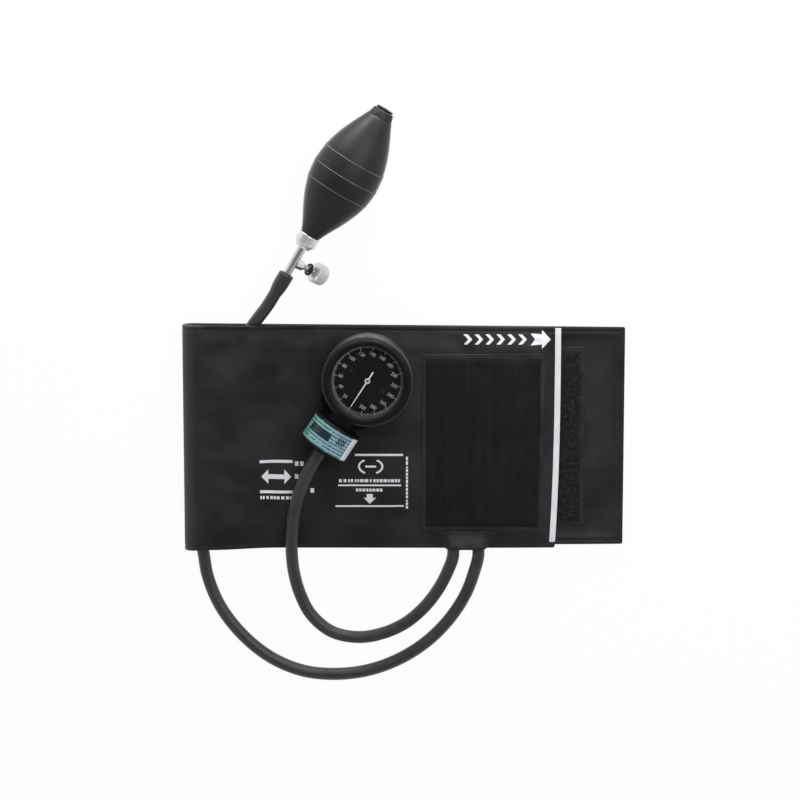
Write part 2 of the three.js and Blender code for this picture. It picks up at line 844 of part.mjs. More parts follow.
function makeBracket() {
  const half = bracketTongueWidth / 2;
  const tongue = new THREE.Shape();
  tongue.moveTo(-half, 0);
  tongue.lineTo(-half, -bracketReach + bracketChamfer);
  tongue.lineTo(-half + bracketChamfer, -bracketReach);
  tongue.lineTo(half - bracketChamfer, -bracketReach);
  tongue.lineTo(half, -bracketReach + bracketChamfer);
  tongue.lineTo(half, 0);
  tongue.closePath();
  const holes = [-1, 1].map((side) =>
    tubeZ(0, bracketScrewRadius + boreGap, -past, bracketThickness + past, smallSides).translate(
      (side * bracketScrewSpan) / 2,
      0,
      0,
    ),
  );
  piece(
    "gauge_bracket",
    cut(
      join(tubeZ(0, bracketRadius, 0, bracketThickness, rimSides), plate(tongue, 0, bracketThickness)),
      ...holes,
    ),
    blackPlastic,
    gauge,
  );
  [-1, 1].forEach((side, i) => {
    const screw = turnedZ(
      [
        [0, screwSeat],
        [bracketScrewRadius, screwSeat],
        [bracketScrewRadius, floorTop + screwSeat],
        [bracketScrewHead, floorTop + screwSeat + clearance],
        [bracketScrewHead, floorTop + bracketScrewHead / 2],
        [0, floorTop + bracketScrewHead / 2],
      ],
      smallSides,
    );
    const mesh = piece(`bracket_screw_${i + 1}`, screw, steel, gauge);
    mesh.position.x = (side * bracketScrewSpan) / 2;
  });
}

function makeRims() {
  const low = caseBase + bumperStart;
  const high = low + bumperHeight;
  const round = bumperRadius - caseRadius - clearance;
  const bumper = turnedZ(
    closed([
      [caseRadius + clearance, low],
      [bumperRadius - round / 2, low],
      [bumperRadius, low + 2 * round],
      [bumperRadius, high - 2 * round],
      [bumperRadius - round / 2, high],
      [caseRadius + clearance, high],
    ]),
    roundSides,
  );
  const neckHole = alongNeck(
    tubeY(0, neckRadius + clearance, -neckReach, -innerRadius, shaftSides),
  );
  piece("rubber_bumper", cut(bumper, neckHole), rubber, gauge);

  const bezelBase = caseTop + clearance;
  const bezelTop = bezelBase + bezelHeight;
  const lipRadius = bezelRadius - bezelBand;
  const bezel = turnedZ(
    closed([
      [innerRadius + caseWall / 2, bezelBase],
      [bezelRadius, bezelBase],
      [bezelRadius, bezelTop - bezelRound],
      [bezelRadius - 0.4 * bezelRound, bezelTop - 0.3 * bezelRound],
      [bezelRadius - bezelRound, bezelTop],
      [lipRadius + bezelLip / 3, bezelTop - bezelLip / 6],
      [lipRadius, bezelTop - bezelLip],
      [innerRadius - clearance, bezelTop - bezelLip],
      [innerRadius, bezelBase],
    ]),
    rimSides,
  );
  piece("bezel_ring", bezel, blackPlastic, gauge);

  const lensLow = bezelTop - bezelLip - clearance - lensThickness;
  const lensRadius = innerRadius - 2 * clearance;
  const dome = Array.from({ length: 4 }, (_, i) => {
    const share = i / 3;
    return [
      (lipRadius - clearance) * Math.cos((share * Math.PI) / 2),
      lensLow + lensThickness + lensRise * Math.sin((share * Math.PI) / 2),
    ];
  });
  const lens = turnedZ(
    [
      [0, lensLow + lensRise],
      [lipRadius - lensRim - lensSlope, lensLow + lensRise],
      [lipRadius - lensRim, lensLow],
      [lensRadius, lensLow],
      [lensRadius, lensLow + lensThickness],
      ...dome.map(([radius, height], i) => [i === 3 ? 0 : radius, height]),
    ],
    roundSides,
  );
  piece("lens", lens, glass, gauge);

  const ring = turnedZ(
    closed([
      [plateRadius - dialRingWidth, dialTop + clearance],
      [plateRadius, dialTop + clearance],
      [plateRadius, lensLow - clearance],
      [plateRadius - 0.4 * dialRingWidth, lensLow - clearance],
    ]),
    roundSides,
  );
  piece("dial_ring", ring, steel, gauge);
}

function makeNeckCap() {
  const start = -neckReach - clearance;
  const end = start - capLength;
  const cap = turnedY(
    closed([
      [nippleRadius + boreGap, start],
      [capRadius - capBevel, start],
      [capRadius, start - capBevel],
      [capRadius, end + capBevel],
      [capRadius - capBevel, end],
      [capNoseRadius + capBevel, end],
      [capNoseRadius, end - capNose],
      [nippleRadius + boreGap, end - capNose],
    ]),
    roundSides,
  );
  piece("neck_cap", alongNeck(cap), blackPlastic, gauge);

  const labelInner = capRadius + clearance / 2;
  const band = new THREE.Shape();
  band.absarc(0, 0, labelInner + labelThickness, 0, Math.PI, false);
  band.absarc(0, 0, labelInner, Math.PI, 0, true);
  band.closePath();
  const label = new THREE.ExtrudeGeometry(band, {
    depth: labelWidth,
    bevelEnabled: false,
    curveSegments: 12,
  });
  label.rotateX(Math.PI / 2);
  const middle = start - capBevel - (capLength - 2 * capBevel - labelWidth) / 2;
  piece("cap_label", alongNeck(label.translate(0, middle, 0)), labelTeal, gauge);

  const inner = -(ledgeRadius - clearance);
  const nipple = turnedY(
    closed([
      [nippleBore, end - capNose + clearance],
      [nippleRadius - capBevel / 2, end - capNose + clearance],
      [nippleRadius, end + capNose],
      [nippleRadius, inner],
      [nippleBore, inner],
    ]),
    shaftSides,
  );
  piece("hose_nipple", alongNeck(nipple), chrome, gauge);
}

function makeDial() {
  const dial = tubeZ(0, plateRadius, dialBase, dialTop, rimSides);
  const centreHole = tubeZ(0, dialHole, dialBase - past, dialTop + past, shaftSides);
  const screwHoles = [-1, 1].map((side) =>
    tubeZ(0, screwRadius + boreGap, dialBase - past, dialTop + past, smallSides).translate(
      (side * dialScrewSpan) / 2,
      0,
      0,
    ),
  );
  piece("dial_plate", cut(dial, centreHole, ...screwHoles), dialBlack, gauge);
  [-1, 1].forEach((side, i) => {
    const screw = turnedZ(
      [
        [0, dialBase - dialScrewDepth],
        [screwRadius, dialBase - dialScrewDepth],
        [screwRadius, dialTop + screwSeat],
        [screwHeadRadius, dialTop + screwSeat],
        [0.8 * screwHeadRadius, dialTop + screwSeat + 0.6 * screwHeadHeight],
        [0, dialTop + screwSeat + 0.7 * screwHeadHeight],
      ],
      smallSides,
    );
    const mesh = piece(`dial_screw_${i + 1}`, screw, steel, gauge);
    mesh.position.x = (side * dialScrewSpan) / 2;
  });

  const needleBase = dialTop + pointerLift;
  const hubHigh = needleBase + pointerThickness + pointerHubRise;
  const half = pointerWidth / 2;
  const needle = new THREE.Shape();
  needle.moveTo(-half, 0);
  needle.lineTo(-half / 3, -pointerReach + pointerWidth);
  needle.lineTo(0, -pointerReach);
  needle.lineTo(half / 3, -pointerReach + pointerWidth);
  needle.lineTo(half, 0);
  needle.lineTo(pointerTailWidth / 2, pointerTail);
  needle.lineTo(-pointerTailWidth / 2, pointerTail);
  needle.closePath();
  const hub = tubeZ(0, pointerHub, needleBase - 2 * pointerHubRise, hubHigh, shaftSides);
  const hubBore = tubeZ(0, arborRadius + boreGap, needleBase - past, hubHigh + past, smallSides);
  piece(
    "pointer",
    cut(join(plate(needle, needleBase, pointerThickness), hub), hubBore),
    printWhite,
    gauge,
  );
  return hubHigh;
}

function makeCapsule() {
  const edge = capsuleRadius;
  // The lower skin has the inlet boss, which stands on the elbow's end.
  const lower = turnedZ(
    closed([
      [capsuleBore, elbowHeight + clearance],
      [capsuleBoss, elbowHeight + clearance],
      [capsuleBoss, capsuleBase],
      [edge * 0.45, capsuleBase],
      [edge * 0.85, capsuleMid - capsuleSkin],
      [edge, capsuleMid - capsuleSkin],
      [edge, capsuleMid],
      [edge * 0.83, capsuleMid],
      [edge * 0.44, capsuleBase + capsuleSkin],
      [capsuleBore, capsuleBase + capsuleSkin],
    ]),
    shaftSides,
  );
  piece("capsule_lower", lower, brass, gauge);
  const rest = capsuleMid + clearance;
  const upper = turnedZ(
    [
      [0, capsuleTop - capsuleSkin],
      [edge * 0.44, capsuleTop - capsuleSkin],
      [edge * 0.83, rest],
      [edge, rest],
      [edge, rest + capsuleSkin],
      [edge * 0.85, rest + capsuleSkin],
      [edge * 0.45, capsuleTop],
      [0, capsuleTop],
    ],
    shaftSides,
  );
  piece("capsule_upper", upper, brass, gauge);
  const button = turnedZ(
    [
      [0, capsuleTop + clearance],
      [buttonRadius, capsuleTop + clearance],
      [buttonRadius, capsuleTop + clearance + buttonHeight / 3],
      [buttonPost, capsuleTop + clearance + buttonHeight / 3],
      [buttonPost, buttonTop],
      [0, buttonTop],
    ],
    shaftSides,
  );
  piece("capsule_button", button, steel, gauge);

  // The tube from the neck runs down beside the capsule and under it to the inlet.
  const drop = ledgeRadius - 2 * clearance - tubeRadius;
  const bend = 1.7 * tubeRadius;
  const path = new THREE.CurvePath();
  const at = (y, z) => new THREE.Vector3(0, y, z);
  path.add(new THREE.LineCurve3(at(-drop, neckAxis + tubeRadius), at(-drop, elbowHeight + bend)));
  path.add(
    new THREE.QuadraticBezierCurve3(
      at(-drop, elbowHeight + bend),
      at(-drop, elbowHeight),
      at(-drop + bend, elbowHeight),
    ),
  );
  path.add(new THREE.LineCurve3(at(-drop + bend, elbowHeight), at(-capsuleBoss - clearance, elbowHeight)));
  const section = new THREE.Shape().absarc(0, 0, tubeRadius, 0, 2 * Math.PI);
  const tube = new THREE.ExtrudeGeometry(section, {
    steps: 14,
    curveSegments: 4,
    extrudePath: path,
  });
  piece("pressure_elbow", tube, brass, gauge);
}

// One tooth's half angle at a radius, for involute flanks.
function toothHalfAngle(pitch, radius) {
  const base = pitch * Math.cos(rad(pressureAngle));
  const involute = (angle) => Math.tan(angle) - angle;
  const thickness = (Math.PI * moduleSize) / 2 - backlash;
  const turn = Math.acos(Math.min(1, base / Math.max(radius, base)));
  return thickness / 2 / pitch + involute(rad(pressureAngle)) - involute(turn);
}

// The outline points of one tooth, from its right root to its left root.
function toothPoints(pitch, addendum, dedendum, centre) {
  const radii = [pitch - dedendum, pitch, pitch + addendum];
  const side = (sign) =>
    radii.map((radius) => {
      const angle = centre + sign * toothHalfAngle(pitch, radius);
      return new THREE.Vector2(radius * Math.cos(angle), radius * Math.sin(angle));
    });
  return [...side(-1), ...side(1).reverse()];
}

const towardsPinion = Math.atan2(-sectorY, -sectorX);
const sectorMiddle = towardsPinion - rad(sectorSweep / 2); // of the teeth, at rest
const sectorAddendum = 0.6 * moduleSize;
const dedendum = 1.2 * moduleSize;

function makeSector() {
  const step = (2 * Math.PI) / sectorWholeTeeth;
  const outline = [];
  const halfCut = (sectorTeethCut - 1) / 2;
  for (let k = -halfCut; k <= halfCut; k++) {
    outline.push(...toothPoints(sectorPitch, sectorAddendum, dedendum, sectorMiddle + k * step));
  }
  const side = (halfCut + 0.6) * step;
  const corner = (radius, angle) =>
    new THREE.Vector2(radius * Math.cos(angle), radius * Math.sin(angle));
  outline.push(corner(sectorPitch - dedendum, sectorMiddle + side));
  outline.push(corner(sectorHub, sectorMiddle + 1.1));
  outline.push(corner(sectorHub, sectorMiddle - 1.1));
  outline.push(corner(sectorPitch - dedendum, sectorMiddle - side));
  const window = new THREE.Path();
  const wide = 0.66 * side;
  const narrow = 0.4 * side;
  window.absarc(0, 0, sectorPitch * 0.78, sectorMiddle - wide, sectorMiddle + wide, false);
  window.absarc(0, 0, sectorPitch * 0.4, sectorMiddle + narrow, sectorMiddle - narrow, true);
  window.closePath();
  const web = new THREE.Shape(outline);
  web.holes.push(window);
  const hubDisc = tubeZ(0, sectorHub, sectorPlane, sectorPlane + gearThickness, shaftSides);
  const arbor = tubeZ(
    0,
    sectorArborRadius,
    basePlate + clearance,
    topPlate + plateThickness,
    shaftSides,
  );
  const pinAngle = -Math.PI / 2 - rad(sectorSweep / 2);
  const pinLow = shaftHeight + sectorArm - armThickness;
  const pin = tubeZ(0, pinRadius, pinLow, sectorPlane + gearThickness / 2, smallSides);
  pin.translate(pinCircle * Math.cos(pinAngle), pinCircle * Math.sin(pinAngle), 0);
  const mesh = piece(
    "sector_gear",
    join(plate(web, sectorPlane, gearThickness, 10), hubDisc, arbor, pin),
    brass,
    gauge,
  );
  mesh.position.set(sectorX, sectorY, 0);
}

function makePinion(arborTop) {
  const toPivot = Math.atan2(sectorY, sectorX);
  const step = (2 * Math.PI) / pinionTeeth;
  // The sector's next tooth past the line of centres, and the pinion's gap that takes it.
  const toothStep = (2 * Math.PI) / sectorWholeTeeth;
  const past = Math.ceil(rad(sectorSweep / 2) / toothStep) * toothStep - rad(sectorSweep / 2);
  const gap = toPivot - past * gearRatio;
  const outline = [];
  for (let k = 0; k < pinionTeeth; k++) {
    outline.push(...toothPoints(pinionPitch, moduleSize, dedendum, gap + (k + 0.5) * step));
  }
  const teeth = plate(new THREE.Shape(outline), pinionLow, pinionHigh - pinionLow);
  const arbor = tubeZ(0, arborRadius, basePlate + clearance, arborTop + arborRadius, smallSides);
  piece("pinion_arbor", join(teeth, arbor), steel, gauge);
}

function makeHairspring() {
  const low = basePlate + plateThickness + clearance;
  const steps = Math.round(springTurns * 12);
  const left = [];
  const right = [];
  for (let i = 0; i <= steps; i++) {
    const angle = (i / steps) * springTurns * 2 * Math.PI;
    const radius = springInner + (springPitch * angle) / (2 * Math.PI);
    left.push([radius - springThickness / 2, angle]);
    right.push([radius + springThickness / 2, angle]);
  }
  const points = [...right, ...left.reverse()].map(
    ([radius, angle]) => new THREE.Vector2(radius * Math.cos(angle), radius * Math.sin(angle)),
  );
  piece("hairspring", plate(new THREE.Shape(points), low, springHeight), steel, gauge);
}

function makeRockingShaft() {
  const lean = rad(rockSweep / 2);
  const shaft = tubeY(0, shaftRadius, -1.5 * armWidth, armY + 1.5 * armWidth, smallSides);
  const blade = (length) => new THREE.BoxGeometry(armThickness, armWidth, length);
  // Both arms are drawn upright from the shaft's axis and then turned to their rest angle.
  const toSector = blade(sectorArm).translate(0, armY, sectorArm / 2).rotateY(-lean);
  const toButton = blade(buttonArm).translate(0, 0, buttonArm / 2).rotateY(-lean - Math.PI / 2);
  const mesh = piece("rocking_shaft", join(shaft, toSector, toButton), steel, gauge);
  mesh.position.set(shaftX, 0, shaftHeight);
}

function makePlates() {
  const disc = tubeZ(0, basePlateRadius, basePlate, basePlate + plateThickness, roundSides);
  const hole = (radius, x, y, low, high) =>
    tubeZ(0, radius, low, high, smallSides).translate(x, y, 0);
  const through = [basePlate - past, basePlate + plateThickness + past];
  const armSlot = plate(
    boxOutline(
      shaftX - sectorArm / 2 - armThickness,
      shaftX + sectorArm / 2 + armThickness,
      armY - armWidth / 2 - clearance,
      armY + armWidth / 2 + clearance,
      runningGap,
    ),
    basePlate - past,
    plateThickness + 2 * past,
    2,
  );
  const elbowNotch = plate(
    boxOutline(
      -tubeRadius - clearance,
      tubeRadius + clearance,
      -2 * basePlateRadius,
      -(ledgeRadius - 2 * tubeRadius - 3 * clearance),
      tubeRadius / 2,
    ),
    basePlate - past,
    plateThickness + 2 * past,
    3,
  );
  // Two ears under the plate carry the rocking shaft.
  const earLow = shaftHeight - earWidth / 3;
  const earHigh = basePlate + plateThickness / 2;
  const ears = [buttonRadius + earThickness, armY - 2 * earThickness].map((y) =>
    new THREE.BoxGeometry(earWidth, earThickness, earHigh - earLow).translate(
      shaftX,
      y,
      (earHigh + earLow) / 2,
    ),
  );
  const earBore = tubeY(0, shaftRadius + runningGap, 0, armY, shaftSides);
  earBore.translate(shaftX, 0, shaftHeight);
  const pillars = pillarPlaces.map(([x, y]) =>
    hole(pillarRadius, x, y, basePlate + plateThickness / 2, topPlate - clearance),
  );
  const postHoles = postAngles.map((angle) =>
    hole(screwRadius + boreGap, ...onCircle(postCircle, angle), ...through),
  );
  piece(
    "movement_base_plate",
    cut(
      join(disc, ...ears, ...pillars),
      armSlot,
      elbowNotch,
      earBore,
      hole(arborRadius + runningGap, 0, 0, ...through),
      hole(sectorArborRadius + runningGap, sectorX, sectorY, ...through),
      ...postHoles,
    ),
    brass,
    gauge,
  );
  postAngles.forEach((angle, i) => {
    const head = basePlate + plateThickness + screwSeat;
    const screw = turnedZ(
      [
        [0, basePlate - screwDepth],
        [screwRadius, basePlate - screwDepth],
        [screwRadius, head],
        [screwHeadRadius, head],
        [screwHeadRadius, head + screwHeadHeight],
        [0, head + screwHeadHeight],
      ],
      smallSides,
    );
    const mesh = piece(`movement_screw_${i + 1}`, screw, steel, gauge);
    const [x, y] = onCircle(postCircle, angle);
    mesh.position.set(x, y, 0);
  });

  const outline = roundedOutline(
    [
      [pillarPlaces[2][0] - plateMargin, pillarPlaces[2][1] - plateMargin],
      [pillarPlaces[2][0] + plateMargin, pillarPlaces[2][1] - plateMargin],
      [pillarPlaces[1][0] + plateMargin, pillarPlaces[1][1] + plateMargin],
      [pillarPlaces[0][0] - plateMargin, pillarPlaces[0][1] + plateMargin],
    ],
    plateMargin,
  );
  const dialPosts = [-1, 1].map((side) =>
    hole(dialPostRadius, (side * dialScrewSpan) / 2, 0, topPlate + plateThickness / 2, dialBase - clearance),
  );
  const postArms = plate(
    boxOutline(
      -dialScrewSpan / 2 - dialArmWidth / 2,
      dialScrewSpan / 2 + dialArmWidth / 2,
      -dialArmWidth / 2,
      dialArmWidth / 2,
      dialArmWidth / 3,
    ),
    topPlate,
    plateThickness,
    4,
  );
  const topThrough = [topPlate - past, dialBase + past];
  const screwBores = [-1, 1].map((side) =>
    hole(screwRadius + boreGap, (side * dialScrewSpan) / 2, 0, ...topThrough),
  );
  piece(
    "movement_top_plate",
    cut(
      join(plate(outline, topPlate, plateThickness, 4), postArms, ...dialPosts),
      hole(arborRadius + runningGap, 0, 0, ...topThrough),
      hole(sectorArborRadius + runningGap, sectorX, sectorY, ...topThrough),
      ...screwBores,
    ),
    brass,
    gauge,
  );
}

makeBracket();
makeCase();
makeRims();
makeNeckCap();
const hubTop = makeDial();
makeCapsule();
makePlates();
makeSector();
makePinion(hubTop);
makeHairspring();
makeRockingShaft();

// Bulb. In its own frame the axis is Y: the collar and the valve are at Y below 0 and the
// air intake is at the bulb's length.

const bulbGroup = new THREE.Group();
const bulbRest = bulbRadius + bulbLine + clearance / 3;
bulbGroup.rotation.order = "ZXY";
bulbGroup.rotation.set(rad(bulbTilt), 0, rad(bulbTurn));
bulbGroup.position.set(bulbX, bulbY, bulbRest - bulbWidest * Math.sin(rad(bulbTilt)));
sphygmomanometer.add(bulbGroup);

// The bulb's outer radius at a distance from its collar end: a spindle with two necks.
function bulbOuter(y) {
  const toCollar = y < bulbWidest;
  const run = toCollar ? bulbWidest : bulbLength - bulbWidest;
  const share = Math.min(Math.abs(bulbWidest - y) / run, 1);
  const end = toCollar ? collarEndRadius : intakeEndRadius;
  return end + (bulbRadius - end) * (1 - share ** 2) ** bulbFullness;
}


function makeBulb() {
  const outer = [];
  const rows = 12;
  for (let i = 0; i <= rows; i++) {
    const y = (bulbLength * i) / rows;
    if (bulbLines.every((line) => Math.abs(y - line) > bulbLineWidth)) outer.push([bulbOuter(y), y]);
  }
  for (const line of bulbLines) {
    for (const [step, rise] of [[-0.9, 0], [-0.3, bulbLine], [0.3, bulbLine], [0.9, 0]]) {
      const y = line + step * bulbLineWidth * 0.5;
      outer.push([bulbOuter(y) + rise, y]);
    }
  }
  outer.sort((a, b) => a[1] - b[1]);
  const inner = [];
  const innerRows = 6;
  for (let i = innerRows; i >= 0; i--) {
    const y = THREE.MathUtils.lerp(bulbMouthDepth, bulbLength - bulbMouthDepth, i / innerRows);
    inner.push([Math.max(bulbOuter(y) - bulbWall, bulbMouth), y]);
  }
  const mouths = { top: [bulbMouth, bulbLength], bottom: [bulbMouth, 0] };
  piece(
    "bulb",
    turnedY(closed([...outer, mouths.top, ...inner, mouths.bottom]), roundSides),
    rubber,
    bulbGroup,
  );
}

// How far below its seat's edge a ball's centre hangs when the valve is shut.
const ballDrop = Math.sqrt(ballRadius ** 2 - seatRadius ** 2) + clearance / 6;

function makeIntake() {
  const seat = bulbLength - seatDepth;
  const inner = bulbLength - bulbMouthDepth + past;
  const spigot = bulbMouth - clearance;
  const body = turnedY(
    closed([
      [chamberRadius, inner],
      [spigot, inner],
      [spigot, bulbLength + clearance],
      [intakeFlange, bulbLength + clearance],
      [intakeFlange - intakeFlangeHeight / 2, bulbLength + clearance + intakeFlangeHeight],
      [seatRadius, bulbLength + clearance + intakeFlangeHeight],
      [seatRadius, seat],
      [chamberRadius, seat],
    ]),
    shaftSides,
  );
  piece("intake_valve_body", body, blackPlastic, bulbGroup);
  const ballY = seat - ballDrop;
  const ball = new THREE.SphereGeometry(ballRadius, ballSides, ballSides - 2);
  piece("intake_valve_ball", ball, steel, bulbGroup).position.y = ballY;
  const stop = ballY - ballRadius - ballLift - runningGap;
  piece(
    "intake_valve_retainer",
    tubeY(seatRadius, chamberRadius - runningGap, Math.max(inner, stop - retainerLength), stop, shaftSides),
    brass,
    bulbGroup,
  );
}

const stemStart = -collarLength - 2 * clearance;
const stemEnd = stemStart - stemLength;

function makeCollar() {
  const seat = -past;
  const spigot = bulbMouth - clearance;
  const body = turnedY(
    closed([
      [chamberRadius, -collarLength - clearance],
      [collarTaper, -collarLength - clearance],
      [collarTaper + clearance, -collarLength * 0.87],
      [collarRadius * 0.93, -collarLength * 0.5],
      [collarRadius, -collarLength * 0.3],
      [collarRadius, -clearance],
      [spigot, -clearance],
      [spigot, bulbMouthDepth - past],
      [seatRadius, bulbMouthDepth - past],
      [seatRadius, seat],
      [chamberRadius, seat],
    ]),
    shaftSides,
  );
  piece("valve_collar", body, chrome, bulbGroup);
  const ballY = seat - ballDrop;
  const ball = new THREE.SphereGeometry(ballRadius, ballSides, ballSides - 2);
  piece("outlet_valve_ball", ball, steel, bulbGroup).position.y = ballY;
  return ballY - ballRadius - ballLift - runningGap;
}

// The release screw's own frame has its axis along +Y, away from the stem.
const screwGroup = new THREE.Group();
screwGroup.position.y = -screwPlace;
screwGroup.rotation.set(0, rad(screwDip), -Math.PI / 2, "YZX");
bulbGroup.add(screwGroup);
const throughScrew = (geometry) => {
  screwGroup.updateMatrix();
  return geometry.applyMatrix4(screwGroup.matrix);
};

function makeValveBody(ballStop) {
  const barbs = Array.from({ length: barbCount }, (_, i) => stemEnd - i * barbStep).flatMap(
    (start) => [
      [barbRoot, start],
      [barbRadius, start - barbStep / 6],
      [barbRoot, start - 0.9 * barbStep],
    ],
  );
  const tip = stemEnd - barbCount * barbStep;
  const tube = turnedY(
    [
      [0, tip],
      [barbRoot, tip],
      ...barbs.reverse(),
      [stemRadius, stemEnd],
      [stemRadius, stemStart],
      [chamberRadius - clearance, stemStart],
      [chamberRadius - clearance, ballStop],
      [0, ballStop],
    ],
    shaftSides,
  );
  const boss = throughScrew(tubeY(0, bossRadius, 0, bossReach, shaftSides));
  const bore = tubeY(0, stemBore, tip - past, ballStop + past, smallSides);
  const needleBore = throughScrew(
    tubeY(0, needleRadius + clearance, 0, bossReach + past, smallSides),
  );
  piece("valve_body", cut(join(tube, boss), bore, needleBore), chrome, bulbGroup);
  const sleeveTop = stemEnd - clearance;
  const sleeveRadius = sleeveDiameter / 2;
  piece(
    "bulb_hose_sleeve",
    turnedY(
      closed([
        [stemRadius, sleeveTop - sleeveLength],
        [hoseDiameter / 2 + clearance, sleeveTop - sleeveLength],
        [sleeveRadius - clearance, sleeveTop - sleeveLength * 0.65],
        [sleeveRadius, sleeveTop - sleeveLength * 0.5],
        [sleeveRadius, sleeveTop - 2 * clearance],
        [sleeveRadius - 2 * clearance, sleeveTop],
        [stemRadius, sleeveTop],
      ]),
      roundSides,
    ),
    rubber,
    bulbGroup,
  );
}

function makeReleaseScrew() {
  const needle = turnedY(
    [
      [0, stemBore + needlePoint / 2],
      [needleRadius, stemBore + 3 * needlePoint / 2],
      [needleRadius, bossReach + clearance],
      [screwStemRadius, bossReach + clearance],
      [screwStemRadius, knobStart + knobSocket],
      [0, knobStart + knobSocket],
    ],
    shaftSides,
  );
  piece("release_needle", needle, steel, screwGroup);

  const outline = Array.from({ length: knobRidges * 2 }, (_, i) => {
    const angle = (i * Math.PI) / knobRidges;
    const radius = knobRadius - (i % 2) * ridgeDepth;
    return new THREE.Vector2(radius * Math.cos(angle), radius * Math.sin(angle));
  });
  const grip = plate(new THREE.Shape(outline), 0, knobLength);
  grip.rotateX(-Math.PI / 2).translate(0, knobStart, 0);
  const end = knobStart + knobLength;
  const blankRadius = knobRadius + clearance / 3;
  const blank = turnedY(
    [
      [0, knobStart],
      [blankRadius - knobEdge, knobStart],
      [blankRadius, knobStart + knobEdge],
      [blankRadius, end - knobEdge],
      [blankRadius - knobEdge, end],
      [0, end],
    ],
    roundSides,
  );
  const socketEnd = knobStart + knobSocket + clearance;
  const socket = tubeY(0, screwStemRadius + clearance, knobStart - past, socketEnd, shaftSides);
  piece("release_knob", cut(within(grip, blank), socket), chrome, screwGroup);

  const ringRadius = screwStemRadius + clearance + ringSection / 2;
  const ring = new THREE.TorusGeometry(ringRadius, ringSection / 2, 6, shaftSides);
  piece("release_ring", ring.rotateX(Math.PI / 2).translate(0, ringPlace, 0), rubber, screwGroup);
}

makeBulb();
makeIntake();
makeValveBody(makeCollar());
makeReleaseScrew();

export default sphygmomanometer;
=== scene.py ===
"""An aneroid sphygmomanometer laid out flat: its folded cuff, hoses, bulb and gauge.

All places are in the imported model's frame. Sizes are in millimetres, and every mesh is
scaled to metres where it is made.
"""

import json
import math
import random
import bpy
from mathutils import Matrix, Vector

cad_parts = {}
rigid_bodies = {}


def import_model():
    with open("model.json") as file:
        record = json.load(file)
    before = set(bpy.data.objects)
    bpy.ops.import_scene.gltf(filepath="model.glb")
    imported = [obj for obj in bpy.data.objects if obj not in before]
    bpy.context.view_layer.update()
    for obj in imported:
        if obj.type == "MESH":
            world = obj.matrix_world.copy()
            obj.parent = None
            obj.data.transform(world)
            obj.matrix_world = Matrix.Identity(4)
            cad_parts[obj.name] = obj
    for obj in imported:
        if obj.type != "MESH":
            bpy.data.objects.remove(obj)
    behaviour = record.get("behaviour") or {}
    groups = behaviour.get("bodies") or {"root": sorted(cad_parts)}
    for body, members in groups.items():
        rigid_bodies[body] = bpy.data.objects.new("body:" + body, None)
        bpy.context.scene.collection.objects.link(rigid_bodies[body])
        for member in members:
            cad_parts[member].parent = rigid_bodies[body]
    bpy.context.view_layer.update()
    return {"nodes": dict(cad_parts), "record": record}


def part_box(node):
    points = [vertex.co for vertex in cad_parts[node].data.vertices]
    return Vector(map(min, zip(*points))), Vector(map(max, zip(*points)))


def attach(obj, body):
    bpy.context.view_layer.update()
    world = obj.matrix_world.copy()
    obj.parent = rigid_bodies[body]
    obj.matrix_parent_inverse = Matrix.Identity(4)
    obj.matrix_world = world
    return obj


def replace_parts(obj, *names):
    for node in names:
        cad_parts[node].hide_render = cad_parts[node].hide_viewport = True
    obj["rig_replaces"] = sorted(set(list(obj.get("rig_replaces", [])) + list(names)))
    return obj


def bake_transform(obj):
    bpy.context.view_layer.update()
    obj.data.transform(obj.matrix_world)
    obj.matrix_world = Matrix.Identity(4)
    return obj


bl_info = {
    "name": "Sphygmomanometer",
    "version": (1, 0, 0),
    "blender": (4, 5, 0),
    "location": "View3D > Sidebar > Sphygmomanometer",
    "description": "Builds an aneroid sphygmomanometer with its cuff, hoses, bulb and gauge",
    "category": "Add Mesh",
}

import bmesh
import bpy
import numpy as np
from bpy.props import FloatProperty, FloatVectorProperty, PointerProperty
from mathutils import Matrix, Vector
from mathutils.bvhtree import BVHTree
from mathutils.geometry import delaunay_2d_cdt

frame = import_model()

MM = 0.001

# The cuff's outline, as in the part's source
FOLD_EDGE_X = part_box("cuff_fold")[0].x / MM
BACK_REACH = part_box("back_leaf")[1].x / MM
LEAF_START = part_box("front_cover")[0].x / MM
FREE_EDGE_X = 100.9  # where the front leaf ends at its top corner
CUFF_WIDTH = 147.0
FREE_END_WIDTH = 142.0
CORNER = 1.4
FRONT_SPARE = 1.7  # how far the front leaf hangs below the back leaf at its free end
LEAF_LEVEL = 9.8  # underside of the front leaf beside the fold
LEAF_FLAT = 2.8  # the same where the leaf lies on the back leaf
LEAF_STACK = 3.8
SLOPE_LENGTH = 42.0
COVER_TOP = LEAF_FLAT + LEAF_STACK
FOLD_OUTER, FOLD_INNER, LINING_BASE = 6.8, 4.3, 1.2  # radii of the fold, and its lining's level
EDGE_STEPS = [0, 0.15, 0.45, 0.9, 1.5, 2.2, 2.7, 3.0, 3.3, 3.9, 5.2, 7, 10]
FURROW = 0.45  # half the width of the furrow that a seam pulls into the cloth
PATCH_SEAM = 1.4  # from a patch's edge to its line of stitches

HOOK_BOX = (56.3, 116.3, -58, 58)
LOOP_BOX = (11.7, 89.2, -61, 54)
GAUGE_HOSE_X, BULB_HOSE_X, PORT_LEVEL = 32.05, 48.35, 5.5


def shift(x, y, z):
    return Matrix.Translation((x, y, z))


def turn(degrees, axis):
    return Matrix.Rotation(math.radians(degrees), 4, axis)


